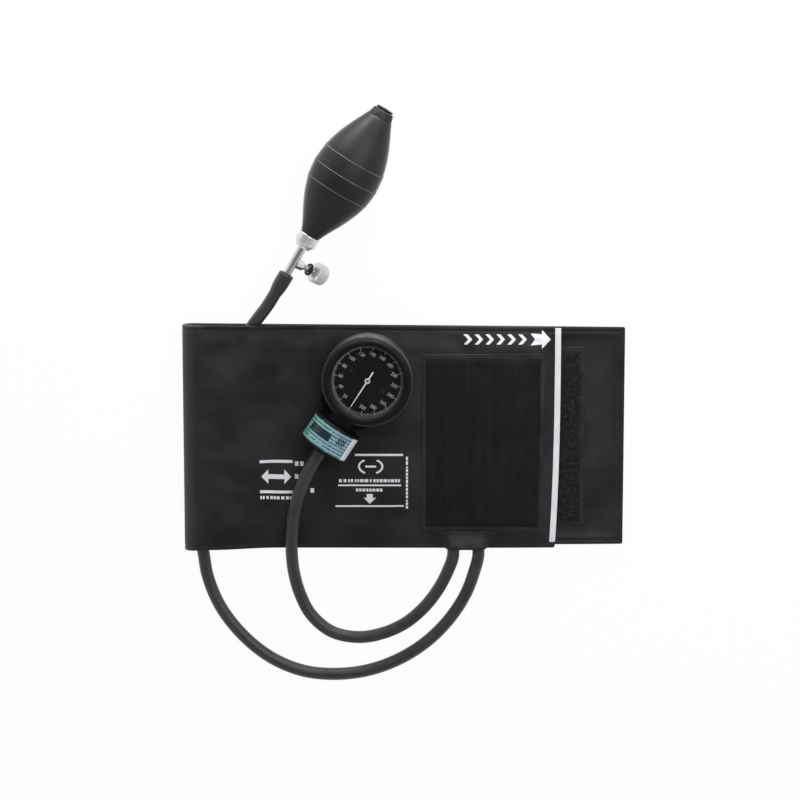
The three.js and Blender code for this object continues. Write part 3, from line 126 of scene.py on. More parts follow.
NECK_AXIS = 15.9
GAUGE_X, GAUGE_Y = -23.2, 39.8
GAUGE = shift(GAUGE_X, GAUGE_Y, 6.9) @ turn(-33, "Z")
NECK = GAUGE @ shift(0, 0, NECK_AXIS) @ turn(90, "X")
BULB = shift(-59.2, 131.9, 20.53) @ turn(-31, "Z") @ turn(2.6, "X") @ turn(-90, "X")
SCREW = BULB @ shift(0, 0, -20.5) @ turn(90, "X") @ turn(33, "Y") @ turn(-90, "Z") @ turn(-90, "X")

# Routes of the two hoses: the points that each centreline passes through
GAUGE_HOSE_ROUTE = [
    (-53.5, -6.8, 22.8), (-56.4, -11.3, 22.7), (-60.4, -18.6, 20.4), (-64.6, -27.8, 16.2),
    (-68, -37.6, 12.4), (-70.6, -48, 11), (-72, -58.6, 10.9), (-72.6, -70.5, 10.9),
    (-72.3, -80, 9.4), (-71.1, -90.3, 6.2), (-68, -102.3, 4.3), (-60.8, -116.9, 4.2),
    (-47.3, -128.6, 4.2), (-30.2, -132.4, 4.2), (-14.2, -129.9, 4.2), (0.9, -123, 4.2),
    (13.3, -112.3, 4.2), (22.9, -99.4, 4.5), (29.2, -86.4, 5.2), (31.7, -79, 5.5),
    (GAUGE_HOSE_X, -74.5, PORT_LEVEL),
]
BULB_HOSE_ROUTE = [
    (BULB_HOSE_X, -74.5, PORT_LEVEL), (48.1, -79, 5.5), (46.1, -87, 5.2), (40.6, -102.6, 4.4),
    (30.1, -119.6, 4.2), (14.9, -135.3, 4.2), (-3.1, -147, 4.2), (-23.7, -154.6, 4.2),
    (-45, -157.1, 4.2), (-65.4, -155, 4.2), (-85.4, -146.8, 4.2), (-103.7, -132.4, 4.2),
    (-118.8, -113, 4.2), (-127.3, -92.5, 4.5), (-130.1, -75.5, 5.4), (-132.6, -60, 5.5),
    (-133.2, -42, 5.5), (-131.4, -22, 5.5), (-127.4, -1, 5.5), (-121.6, 20, 5.5),
    (-113.6, 42, 5.5), (-107.4, 54, 5.5), (-102.4, 63.2, 6), (-97.4, 71.6, 7.3),
    (-94.6, 75.7, 9.2), (-91.6, 79.8, 12.2), (-87.3, 85.6, 16.1), (-84.3, 90.2, 18),
    (-81.75, 94.45, 18.5),
]


# Colours and sizes that a user would change


def colour(code):
    """The linear colour with alpha of an sRGB hex code."""
    parts = [int(code[i : i + 2], 16) / 255 for i in (1, 3, 5)]
    linear = [c / 12.92 if c <= 0.04045 else ((c + 0.055) / 1.055) ** 2.4 for c in parts]
    return (*linear, 1.0)


def tint(name, description, code):
    return FloatVectorProperty(
        name=name, description=description, subtype="COLOR", size=4, min=0, max=1,
        default=colour(code),
    )


def size(name, description, default):
    return FloatProperty(
        name=name, description=description, default=default * MM, unit="LENGTH", precision=5
    )


class SPHYG_finishes(bpy.types.PropertyGroup):
    """Colours of the finishes."""

    cloth: tint("Cuff cloth", "Black of the coated nylon", "#0e0e11")
    cloth_worn: tint("Cuff cloth, high spots", "Nylon where it catches the light", "#252529")
    # A painted highlight: the paler shade that the cloth is drawn with along the rounded fold
    cloth_rubbed: tint("Cuff cloth, at the fold", "Coating that is rubbed paler", "#48484c")
    pile: tint("Loop pile", "Brushed nylon loops", "#1a1a1c")
    pile_worn: tint("Loop pile, tips", "Streaks where the loops are brushed up", "#202023")
    hooks: tint("Hook tape", "Moulded nylon hooks", "#131315")
    ink: tint("Print", "White screen print and index tape", "#dcdce1")
    hose: tint("Hose rubber", "Extruded grey-black rubber", "#252528")
    rubber: tint("Moulded rubber", "Deep black of the bulb", "#121213")
    rubber_bloom: tint("Rubber bloom", "Pale bloom on the bulb", "#1d1d1f")
    plastic: tint("Black ABS", "Gauge case, bezel and cap", "#0f0f11")
    dial: tint("Dial paint", "Matt black of the dial", "#141417")
    dial_ring: tint("Dial ring", "Grey ring round the scale", "#4a4a4e")
    foil_green: tint("Label, left", "Green end of the foil label", "#6b9c92")
    foil_blue: tint("Label, right", "Blue end of the foil label", "#8caec0")
    foil_dark: tint("Label, dark panel", "Dark panel of the foil label", "#072530")


class SPHYG_sizes(bpy.types.PropertyGroup):
    """Sizes of the details that the solids leave to this script."""

    hem_thickness: size("Hem thickness", "Of the pressed hem of the front leaf", 2.3)
    seam_inset: size("Seam inset", "From the cloth's edge to its line of stitches", 3.0)
    stitch_pitch: size("Stitch pitch", "From one stitch to the next", 3.2)
    stitch_length: size("Stitch length", "Of the thread that shows", 2.5)
    thread: size("Thread", "Diameter of the sewing thread", 0.45)
    puff: size("Puff", "Most that the cover swells over the bladder", 0.9)
    hose: size("Hose diameter", "Outside diameter of both hoses", 8.0)
    print_film: size("Print film", "Thickness of the screen print", 0.06)


def sizes_mm():
    """The sizes above, in millimetres."""
    group = bpy.context.scene.sphyg_sizes
    return {key: getattr(group, key) / MM for key in group.__annotations__}


# Materials


def shade(code):
    """The colour of a hex code, or of the finish of that name."""
    return colour(code) if code[0] == "#" else getattr(bpy.context.scene.sphyg_finishes, code)


def add(tree, kind, inputs=None, stops=(), **settings):
    """Adds a shader node with its settings and the stops of its ramp, and links or sets its
    inputs. A node as an input stands for its first output."""
    node = tree.nodes.new("ShaderNode" + kind)
    for key, value in settings.items():
        setattr(node, key, value)
    for k, (position, code) in enumerate(stops):
        element = node.color_ramp.elements[k]
        element.position, element.color = position, shade(code)
    for key, value in (inputs or {}).items():
        source = value.outputs[0] if isinstance(value, bpy.types.Node) else value
        if isinstance(source, bpy.types.NodeSocket):
            tree.links.new(source, node.inputs[key])
        else:
            node.inputs[key].default_value = value
    return node


def plain(tree, dark, light, roughness, grain, depth, fixed):
    """A moulded, plated or painted face: fine grain, and a gloss that varies with wear, less so
    where it is polished."""
    place = add(tree, "TexCoord").outputs["Object"]
    fine = add(tree, "TexNoise", {"Vector": place, "Scale": 1000 / grain, "Detail": 3.0})
    wear = add(tree, "TexNoise", {"Vector": place, "Scale": 70.0, "Detail": 2.0})
    change = 0.03 if roughness < 0.2 else 0.06
    gloss = add(
        tree, "MapRange",
        {"Value": wear, "From Min": 0.3, "From Max": 0.7, "To Min": roughness - change,
         "To Max": roughness + change},
    )
    bump = add(tree, "Bump", {"Height": fine, "Distance": depth * MM, "Strength": 0.6})
    base = add(tree, "ValToRGB", {"Fac": wear}, ((0.35, dark), (0.65, light)))
    return add(
        tree, "BsdfPrincipled", {"Base Color": base, "Roughness": gloss, "Normal": bump, **fixed}
    )


def coated_nylon(tree):
    """Nylon, plain woven and coated: near-black with a faint weave and a soft sheen."""
    place = add(tree, "TexCoord").outputs["Object"]
    # Real threads lie 0.3 mm apart. They are drawn 0.9 mm apart, so that they show.
    lines = {"Vector": place, "Scale": 2 * math.pi / (20 * 0.9 * MM), "Distortion": 0.6, "Detail": 1.0}
    warp, weft = (add(tree, "TexWave", lines, bands_direction=way).outputs["Fac"] for way in "XY")
    threads = add(tree, "Math", {0: warp, 1: weft}, operation="MAXIMUM")
    soft = add(tree, "TexNoise", {"Vector": place, "Scale": 28.0, "Detail": 3.0})
    fine = add(tree, "TexNoise", {"Vector": place, "Scale": 900.0, "Detail": 2.0})
    height = add(tree, "Math", {0: fine, 1: 0.5, 2: threads}, operation="MULTIPLY_ADD")
    bump = add(tree, "Bump", {"Height": height, "Distance": 0.06 * MM, "Strength": 0.5})
    base = add(tree, "ValToRGB", {"Fac": soft}, ((0.35, "cloth"), (0.72, "cloth_worn")))
    # A painted highlight: the cloth is drawn paler along the rounded fold, where it catches the light,
    # and this fades out over 10 mm.
    highlit = add(
        tree, "MapRange",
        {"Value": add(tree, "SeparateXYZ", {0: place}), "From Min": FOLD_EDGE_X * MM,
         "From Max": (FOLD_EDGE_X + 10) * MM, "To Min": 0.8, "To Max": 0.0},
        interpolation_type="SMOOTHSTEP",
    )
    # Inputs 6 and 7 and output 2 are a mix node's colours.
    mixed = add(tree, "Mix", {0: highlit, 6: base, 7: shade("cloth_rubbed")}, data_type="RGBA")
    gloss = add(
        tree, "MapRange",
        {"Value": soft, "From Min": 0.3, "From Max": 0.7, "To Min": 0.66, "To Max": 0.52},
    )
    return add(
        tree, "BsdfPrincipled",
        {"Base Color": mixed.outputs[2], "Roughness": gloss, "Normal": bump,
         "Specular IOR Level": 0.25, "Sheen Weight": 0.05},
    )


def brushed_loops(tree):
    """Nylon loops, knitted and brushed one way: fine streaks along the cuff's width."""
    place = add(tree, "TexCoord").outputs["Object"]
    # Loops stand 0.8 mm apart across, and are brushed out to streaks of about 20 mm.
    streaks = add(tree, "Mapping", {"Vector": place, "Scale": (1.0, 0.045, 1.0)})
    brushed = add(tree, "TexNoise", {"Vector": streaks, "Scale": 1250.0, "Detail": 3.0})
    broad = add(tree, "TexNoise", {"Vector": streaks, "Scale": 260.0, "Detail": 2.0})
    both = add(tree, "Math", {0: broad, 1: 0.6, 2: brushed}, operation="MULTIPLY_ADD")
    bump = add(tree, "Bump", {"Height": both, "Distance": 0.2 * MM, "Strength": 0.5})
    base = add(tree, "ValToRGB", {"Fac": both}, ((0.68, "pile"), (1.0, "pile_worn")))
    return add(
        tree, "BsdfPrincipled",
        {"Base Color": base, "Roughness": 0.85, "Normal": bump, "Specular IOR Level": 0.06,
         "Sheen Weight": 0.04},
    )


def moulded_hooks(tree):
    """Nylon hooks, moulded in rows 1.4 mm apart: dark, rough and specked with light."""
    place = add(tree, "TexCoord").outputs["Object"]
    hooks = add(tree, "TexVoronoi", {"Vector": place, "Scale": 1000 / 1.4, "Randomness": 0.6})
    clumps = add(tree, "TexNoise", {"Vector": place, "Scale": 420.0, "Detail": 4.0})
    bump = add(
        tree, "Bump", {"Height": hooks, "Distance": 0.5 * MM, "Strength": 0.8}, invert=True
    )
    base = add(tree, "ValToRGB", {"Fac": clumps}, ((0.45, "hooks"), (0.7, "#2b2b2e")))
    return add(
        tree, "BsdfPrincipled",
        {"Base Color": base, "Roughness": 0.6, "Normal": bump, "Specular IOR Level": 0.12},
    )


def acrylic(tree):
    """Acrylic, moulded and polished: clear, and lamps and scattered light pass it to the dial."""
    # The index is far below acrylic's 1.49, because the real lens mirrors so little.
    shader = add(
        tree, "BsdfPrincipled",
        {"Base Color": (1, 1, 1, 1), "Roughness": 0.0, "IOR": 1.12, "Transmission Weight": 1.0},
    )
    clear = add(tree, "BsdfTransparent")
    path = add(tree, "LightPath")
    for ray in ("Is Shadow Ray", "Is Diffuse Ray"):
        shader = add(tree, "MixShader", {"Fac": path.outputs[ray], 1: shader, 2: clear})
    return shader


def foil(tree, left, right):
    """Polyester foil, printed: a band that shades from green to blue with fine dark lines."""
    place = add(tree, "TexCoord").outputs["Object"]
    round_cap, along = GAUGE.to_3x3().col[:2]
    # Millimetres from the gauge's middle, round the cap and along it
    across, down = (
        add(tree, "VectorMath", {0: place, 1: tuple(way / MM)}, operation="DOT_PRODUCT").outputs["Value"]
        for way in (round_cap, along)
    )
    middle = GAUGE_X * round_cap.x + GAUGE_Y * round_cap.y
    share = add(tree, "MapRange", {"Value": across, "From Min": middle - 16, "From Max": middle + 12})
    base = add(tree, "ValToRGB", {"Fac": share}, ((0.1, left), (0.75, right)))
    # Dark lines 2.2 mm apart along the cap, broken up round it
    waves = add(tree, "Math", {0: down, 1: 2 * math.pi / 2.2}, operation="MULTIPLY")
    lines = add(tree, "Math", {0: waves}, operation="SINE")
    scatter = add(tree, "TexNoise", {"Vector": place, "Scale": 620.0, "Detail": 1.0})
    breaks = add(tree, "MapRange", {"Value": scatter, "From Min": 0.36, "From Max": 0.48})
    mark = add(tree, "Math", {0: lines, 1: breaks}, operation="MULTIPLY")
    dark = add(tree, "ValToRGB", {"Fac": mark}, ((-0.3, "#ffffff"), (0.4, "#1c4f55")))
    # Inputs 6 and 7 and output 2 are a mix node's colours.
    mixed = add(
        tree, "Mix", {0: 0.85, 6: base, 7: dark}, data_type="RGBA", blend_type="MULTIPLY"
    )
    return add(
        tree, "BsdfPrincipled",
        {"Base Color": mixed.outputs[2], "Roughness": 0.32, "Specular IOR Level": 0.5},
    )


def seen(tree, path):
    """1 for rays from the camera, off gloss and through glass."""
    total = path.outputs["Is Camera Ray"]
    for name in ("Is Glossy Ray", "Is Transmission Ray"):
        total = add(tree, "Math", {0: total, 1: path.outputs[name]}, operation="MAXIMUM")
    return total


def paper(tree):
    """Paper, matt: white to the camera, in gloss and through glass, and it keeps the shadow."""
    lit = add(tree, "BsdfDiffuse", {"Color": (0.98, 0.98, 0.98, 1)})
    glow = add(tree, "Emission", {"Color": (1, 1, 1, 1), "Strength": 1.0})
    share = add(tree, "Math", {0: seen(tree, add(tree, "LightPath")), 1: 0.95}, operation="MULTIPLY")
    return add(tree, "MixShader", {"Fac": share, 1: lit, 2: glow})


# Each finish by its material and process. Those of plain() have a dark and a light shade, the
# roughness, the grain's size and depth in millimetres, and the shader's other inputs.
SPECULAR = "Specular IOR Level"
FINISHES = {
    "coated_nylon_woven": (coated_nylon,),
    "nylon_loops_brushed": (brushed_loops,),
    "nylon_hooks_moulded": (moulded_hooks,),
    # The flat sewn border of both patches, heat-set and matt
    "nylon_tape_woven": (plain, "#232326", "#2f2f32", 0.6, 0.7, 0.05, {SPECULAR: 0.15}),
    # Black with a little gloss
    "polyester_thread_twisted": (plain, "#19191c", "#242427", 0.5, 0.4, 0.05, {SPECULAR: 0.2}),
    # Opaque white with a slight tooth from the weave
    "vinyl_ink_printed": (plain, "ink", "#e6e6ea", 0.6, 0.9, 0.03, {SPECULAR: 0.3}),
    # The dial's numbers and ticks, a little greyer than the pointer
    "ink_pad_printed": (plain, "#a2a2a6", "#b2b2b6", 0.6, 0.5, 0.005, {SPECULAR: 0.2}),
    # Grey-black and satin, with a faint talc bloom
    "rubber_extruded": (
        plain, "hose", "#2e2e31", 0.44, 1.2, 0.012, {SPECULAR: 0.5, "Sheen Weight": 0.1}
    ),
    # Deep black and satin, with a pale bloom in places
    "rubber_moulded": (
        plain, "rubber", "rubber_bloom", 0.5, 1.2, 0.006,
        {SPECULAR: 0.32, "Sheen Weight": 1.0, "Sheen Roughness": 0.25},
    ),
    # Polished by its mould: black, with a crisp light along the bumper's rim
    "nitrile_rubber_moulded": (plain, "#0e0e10", "#141416", 0.42, 0.6, 0.004, {SPECULAR: 0.6}),
    # The pale rubbed lines where the bulb's mould parted
    "rubber_flash_trimmed": (plain, "#68686b", "#828285", 0.6, 0.3, 0.02, {}),
    # Fine textured black with soft highlights
    "abs_moulded": (plain, "plastic", "#141417", 0.44, 0.35, 0.006, {SPECULAR: 0.1}),
    # Turned and bright, with faint turning marks
    "brass_chrome_plated": (plain, "#d2d3d6", "#e4e5e7", 0.14, 0.5, 0.006, {"Metallic": 0.95}),
    # Knurled and pale, with soft broken highlights
    "brass_satin_chromed": (plain, "#dadbde", "#eeeef0", 0.34, 0.5, 0.02, {"Metallic": 0.85}),
    # Stainless, grey with a satin face
    "steel_turned": (plain, "#9a9a9c", "#b5b5b7", 0.3, 0.4, 0.01, {"Metallic": 1.0}),
    # The dial's screws, which sink into its black
    "steel_blackened": (plain, "#141416", "#1e1e20", 0.45, 0.4, 0.01, {SPECULAR: 0.3}),
    # Tumbled: warm yellow with a satin face
    "brass_stamped": (plain, "#b08d45", "#c7a55c", 0.32, 0.5, 0.012, {"Metallic": 1.0}),
    # The dial's flat black, on aluminium
    "enamel_matt_sprayed": (plain, "dial", "#19191c", 0.7, 0.3, 0.003, {SPECULAR: 0.06}),
    # The grey ring that carries the scale
    "aluminium_anodised": (plain, "dial_ring", "#56565a", 0.5, 0.3, 0.004, {SPECULAR: 0.15}),
    # The bare white end of the label, with a satin face
    "foil_printed_white": (plain, "#f0f0f2", "#fafafb", 0.4, 0.6, 0.003, {SPECULAR: 0.5}),
    "foil_printed": (foil, "foil_green", "foil_blue"),
    "foil_printed_dark": (foil, "foil_dark", "#0d3247"),
    "acrylic_polished": (acrylic,),
    "paper_white_backdrop": (paper,),
}


def finish(name):
    """The material of that name, made at its first use."""
    made = bpy.data.materials.get(name)
    if not made:
        made = bpy.data.materials.new(name)
        made.use_nodes = True
        tree = made.node_tree
        tree.nodes.clear()
        make, *values = FINISHES[name]
        add(tree, "OutputMaterial", {"Surface": make(tree, *values)})
    return made


# Meshes


def linked(name, data):
    made = bpy.data.objects.new(name, data)
    bpy.context.scene.collection.objects.link(made)
    return made


def meshed(name, points, faces, indices=None, **shading):
    """An object from points in metres, its faces and each face's material index."""
    mesh = bpy.data.meshes.new(name)
    mesh.from_pydata(points, [], faces)
    if indices:
        mesh.polygons.foreach_set("material_index", indices)
    return finished(name, mesh, **shading)


def finished(name, mesh, materials, smooth=True, sharp=35):
    """Links a mesh as an object, cleans it and shades it smooth up to an angle."""
    work = bmesh.new()
    work.from_mesh(mesh)
    bmesh.ops.remove_doubles(work, verts=work.verts, dist=1e-7)
    bmesh.ops.dissolve_degenerate(work, dist=1e-8, edges=work.edges)
    bmesh.ops.recalc_face_normals(work, faces=work.faces)
    for face in work.faces:
        face.smooth = smooth
    for edge in work.edges:
        if len(edge.link_faces) == 2 and edge.calc_face_angle(0) > math.radians(sharp):
            edge.smooth = False
    work.to_mesh(mesh)
    work.free()
    for one in materials:
        mesh.materials.append(finish(one))
    return linked(name, mesh)


def dress(piece, body, slot_name, *nodes):
    """Says what a piece rides on and which solids it stands for. slot_name is not used."""
    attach(piece, body)
    if nodes:
        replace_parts(piece, *nodes)
    return piece


def rounded(corners, steps=5):
    """A profile whose corners (a, b, radius) are turned into arcs; radius 0 stays sharp."""
    out = []
    for i, (a, b, radius) in enumerate(corners):
        here = Vector((a, b))
        if not radius:
            out.append(here)
            continue
        before = Vector(corners[i - 1][:2]) - here
        after = Vector(corners[(i + 1) % len(corners)][:2]) - here
        reach = min(radius, 0.49 * before.length, 0.49 * after.length)
        start = here + before.normalized() * reach
        end = here + after.normalized() * reach
        for k in range(steps + 1):
            t = k / steps
            out.append((1 - t) ** 2 * start + 2 * t * (1 - t) * here + t**2 * end)
    return [tuple(p) for p in out]


def lathe(name, profile, matrix, materials, sides, warp=None, sharp=35, pick=None):
    """A turned piece: profile is (radius, height) round the matrix's Z axis. A profile that
    starts and ends on the axis is a solid, and any other is closed on itself. warp changes
    the radius by angle and height, and pick gives each band of faces its material."""
    on_axis = profile[0][0] < 1e-6 and profile[-1][0] < 1e-6
    points, rings = [], []
    for radius, height in profile:
        if radius < 1e-6:
            rings.append([len(points)] * sides)
            points.append(matrix @ Vector((0, 0, height)) * MM)
            continue
        rings.append(list(range(len(points), len(points) + sides)))
        for k in range(sides):
            angle = 2 * math.pi * k / sides
            r = warp(radius, height, angle) if warp else radius
            points.append(matrix @ Vector((r * math.cos(angle), r * math.sin(angle), height)) * MM)
    faces, indices = [], []
    for i in range(len(profile) - on_axis):
        after = (i + 1) % len(profile)
        low, high = rings[i], rings[after]
        for k in range(sides):
            n = (k + 1) % sides
            corners = list(dict.fromkeys([low[k], low[n], high[n], high[k]]))
            if len(corners) > 2:
                faces.append(corners)
                indices.append(pick((profile[i][1] + profile[after][1]) / 2) if pick else 0)
    return meshed(name, points, faces, indices, materials=materials, sharp=sharp)


def turned(name, matrix, material, sides, ride, corners, steps=5, **more):
    """A turned piece with rounded corners. ride is its body, its slot and the solid it is."""
    return dress(lathe(name, rounded(corners, steps), matrix, [material], sides, **more), *ride)


def grid(x, y, z):
    """Points of a grid (rows, columns, 3) from coordinates of any matching shapes."""
    return np.stack(np.broadcast_arrays(x, y, z), axis=-1)


def closed_slab(name, top, bottom, materials, sharp=35, pick=None):
    """A closed mesh between two grids of points in millimetres. pick gives each face of the
    grid its material by row and column."""
    rows, columns = top.shape[:2]
    count = rows * columns
    points = np.concatenate([top.reshape(-1, 3), bottom.reshape(-1, 3)]) * MM
    faces, indices = [], []
    for j in range(rows - 1):
        for i in range(columns - 1):
            a = j * columns + i
            quad = [a, a + 1, a + columns + 1, a + columns]
            faces += [quad, [count + v for v in reversed(quad)]]
            indices += [pick(j, i) if pick else 0] * 2
    last = (rows - 1) * columns
    rim = [(i, i + 1) for i in range(columns - 1)]
    rim += [(last + b, last + a) for a, b in rim]
    left = [(j * columns, (j + 1) * columns) for j in range(rows - 1)]
    rim += [(b, a) for a, b in left] + [(a + columns - 1, b + columns - 1) for a, b in left]
    for a, b in rim:
        if np.abs(points[[a, b]] - points[[count + a, count + b]]).max() > 1e-7:
            faces.append([a, count + a, count + b, b])
            indices.append(0)
    return meshed(name, points.tolist(), faces, indices, materials=materials, sharp=sharp)


def prism(name, outline, low, height, material, bevel=0.0):
    """A plate in the gauge's frame, drawn up from its outline, with bevelled or sharp rims."""
    work = bmesh.new()
    face = work.faces.new([work.verts.new(GAUGE @ Vector((x, y, low)) * MM) for x, y in outline])
    drawn = bmesh.ops.extrude_face_region(work, geom=[face])["geom"]
    lifted = [v for v in drawn if isinstance(v, bmesh.types.BMVert)]
    bmesh.ops.translate(work, verts=lifted, vec=(0, 0, height * MM))
    # The extrusion leaves the side faces in another order on each run, so they are sorted.
    places = {f: sorted(tuple(v.co) for v in f.verts) for f in work.faces}
    for k, side in enumerate(sorted(work.faces, key=places.get)):
        side.index = k
    work.faces.sort()
    if bevel:
        edges = [e for e in work.edges if len(e.link_faces) == 2 and e.calc_face_angle(0) > 1]
        bmesh.ops.bevel(work, geom=edges, offset=bevel * MM, segments=3, affect="EDGES")
    else:
        bmesh.ops.triangulate(work, faces=work.faces[:])
    mesh = bpy.data.meshes.new(name)
    work.to_mesh(mesh)
    work.free()
    return finished(name, mesh, [material], smooth=bevel > 0)


def edge_steps(span, edges, pitch):
    """Places along a span: close together by the two ends, and evenly between them."""
    inner = np.linspace(edges[-1], span - edges[-1], max(2, round((span - 2 * edges[-1]) / pitch)))
    return np.concatenate([edges[:-1], inner, span - np.array(edges[:-1])[::-1]])


def smooth(t):
    t = np.clip(t, 0, 1)
    return t * t * (3 - 2 * t)


def round_edge(d, radius=1.0):
    """How full a sheet is at a distance from its edge: 0 at the edge, and 1 past radius."""
    return np.sqrt(1 - (1 - np.clip(d / radius, 0, 1)) ** 2)


def groove(d, place, depth, width):
    """The furrow that a row of stitches pulls into a sheet."""
    return depth * np.exp(-(((d - place) / width) ** 2))


def round_corner(dx, dy, radius):
    """Draws the corner of a grid in to an arc: the new distances from the two edges."""
    a, b = radius - dx, radius - dy
    near = (a > 0) & (b > 0)
    scale = np.where(near, np.maximum(a, b) / np.maximum(np.hypot(a, b), 1e-9), 1)
    return np.where(near, radius - a * scale, dx), np.where(near, radius - b * scale, dy)


def surface_of(name):
    """A search tree over a piece's mesh, for laying things on it."""
    work = bmesh.new()
    work.from_mesh(bpy.data.objects[name].data)
    tree = BVHTree.FromBMesh(work)
    work.free()
    return tree


def level(tree, x, y):
    """The height in millimetres of the surface under a place."""
    hit = tree.ray_cast(Vector((x * MM, y * MM, 0.1)), Vector((0, 0, -1)))[0]
    return hit.z / MM if hit else COVER_TOP


levels = np.vectorize(level, otypes=[float])  # the same for arrays of places


def spline(route, per_span=10):
    """A centripetal Catmull-Rom curve through the route's points."""
    points = [Vector(p) for p in route]
    points = [2 * points[0] - points[1], *points, 2 * points[-1] - points[-2]]
    out = [points[1]]
    for p0, p1, p2, p3 in zip(points, points[1:], points[2:], points[3:]):
        d0, d1, d2 = ((b - a).length ** 0.5 for a, b in ((p0, p1), (p1, p2), (p2, p3)))
        t1 = ((p1 - p0) / d0 - (p2 - p0) / (d0 + d1) + (p2 - p1) / d1) * d1
        t2 = ((p2 - p1) / d1 - (p3 - p1) / (d1 + d2) + (p3 - p2) / d2) * d1
        for k in range(1, per_span + 1):
            t = k / per_span
            cubic = 2 * p1 - 2 * p2 + t1 + t2
            square = -3 * p1 + 3 * p2 - 2 * t1 - t2
            out.append(p1 + t1 * t + square * t * t + cubic * t**3)
    return out


# How far each ring of a stitch stands from its middle, its width, and its height
STITCH = ((-1, 0.3, -0.1), (-0.75, 1, 0.06), (0.75, 1, 0.06), (1, 0.3, -0.1))


def stitches(name, under, path, body, slot_name):
    """A row of thread stitches that lie on a piece along a path of (x, y) points."""
    tree, s = surface_of(under), sizes_mm()
    sides = 6
    turns = [2 * math.pi * q / sides for q in range(sides)]
    points, faces = [], []
    ends = [Vector(p) for p in path]
    for start, end in zip(ends, ends[1:]):
        count = max(1, int((end - start).length / s["stitch_pitch"]))
        along = (end - start) / count
        reach = along.normalized() * s["stitch_length"] / 2
        across = Vector((-reach.y, reach.x, 0)).normalized()
        for k in range(count):
            first = len(points)
            for share, width, lift in STITCH:
                place = start + along * (k + 0.5) + reach * share
                centre = Vector((*place, level(tree, *place) + lift))
                for angle in turns:
                    offset = across * math.cos(angle) + Vector((0, 0, math.sin(angle)))
                    points.append((centre + offset * s["thread"] / 2 * width) * MM)
            rings = [list(range(a, a + sides)) for a in range(first, len(points), sides)]
            for a, b in zip(rings, rings[1:]):
                faces += [[a[q - 1], a[q], b[q], b[q - 1]] for q in range(sides)]
            faces += [rings[0], rings[-1][::-1]]
    row = meshed(name, points, faces, materials=["polyester_thread_twisted"])
    return dress(row, body, slot_name)


def rectangle(left, right, low, high, inset):
    """The corners of a rectangle, drawn in, back to the first one."""
    a, b, c, d = left + inset, right - inset, low + inset, high - inset
    return [(a, c), (b, c), (b, d), (a, d), (a, c)]


# Cuff


def half_width(x):
    share = (x - FOLD_EDGE_X) / (BACK_REACH - FOLD_EDGE_X)
    return (CUFF_WIDTH + (FREE_END_WIDTH - CUFF_WIDTH) * share) / 2


def front_spare(x):
    """How far the front leaf's lower edge hangs past the back leaf's, by x."""
    run = 240.0
    return FRONT_SPARE * smooth((x - LEAF_START) / run)


def free_edge_x(y):
    """The front leaf's free edge, which bends back towards the hoses."""
    top, length, bend = 71.3, 139.2, 2.7
    return FREE_EDGE_X - bend * np.clip((top - y) / length, 0, 1.05) ** 3


def place_across(v, x, inset, spare=0.0):
    """The y of the grid's line v: at inset from the leaf's edge beside it, evenly elsewhere."""
    lower = v < CUFF_WIDTH / 2
    half = half_width(x) + np.where(lower, spare, 0)
    beside = np.minimum(v, CUFF_WIDTH - v) <= EDGE_STEPS[-1]
    return np.where(beside, np.where(lower, -1, 1) * (half - inset), (v / CUFF_WIDTH - 0.5) * 2 * half)


def hose_between_leaves():
    """The place and height of the bulb's hose under the front leaf, by y."""
    line = [p for p in spline(BULB_HOSE_ROUTE) if p.x < -23 and -80 < p.y < 100]
    line.sort(key=lambda p: p.y)
    return [np.array([p[axis] for p in line]) for axis in (1, 0, 2)]


HOSE_Y, HOSE_X, HOSE_Z = hose_between_leaves()


def leaf_underside(x, y):
    """Level beside the fold, over the hose, and then down to the back leaf."""
    hose_x, hose_z = np.interp(y, HOSE_Y, HOSE_X), np.interp(y, HOSE_Y, HOSE_Z)
    # The leaf clears the hose's radius of 4 mm by 0.3 mm, and by 0.9 mm where the hose rises.
    ridge = np.maximum(LEAF_LEVEL, hose_z + 4.3 + 0.6 * smooth((hose_z - 5.5) / 0.5))
    crown = 6.0  # half the width of the leaf's crest over the hose
    run = np.maximum(hose_x - crown - LEAF_START, 1)
    near = LEAF_LEVEL + (ridge - LEAF_LEVEL) * smooth((x - LEAF_START) / run)
    far = ridge + (LEAF_FLAT - ridge) * smooth((x - hose_x - crown) / SLOPE_LENGTH)
    return np.where(x < hose_x - crown, near, np.where(x < hose_x + crown, ridge, far))


def fold_grid(v, side, seam):
    """The fold's outer and inner points, round its half circle."""
    angle = np.radians(np.linspace(270, 90, 15))[:-1]
    x = LEAF_START + FOLD_OUTER * np.cos(angle)
    y = place_across(v, x, side, front_spare(x))
    outer = grid(x, y, FOLD_OUTER + FOLD_OUTER * np.sin(angle))
    x = LEAF_START + FOLD_INNER * np.cos(angle)
    inner = grid(x, y, LINING_BASE + FOLD_INNER * (1 + np.sin(angle)))
    middle = (outer + inner) / 2
    full = round_edge(side)[..., None]
    pulled = groove(side, seam, 0.2, FURROW)[..., None]
    return middle + (outer - middle) * (full - pulled), middle + (inner - middle) * full


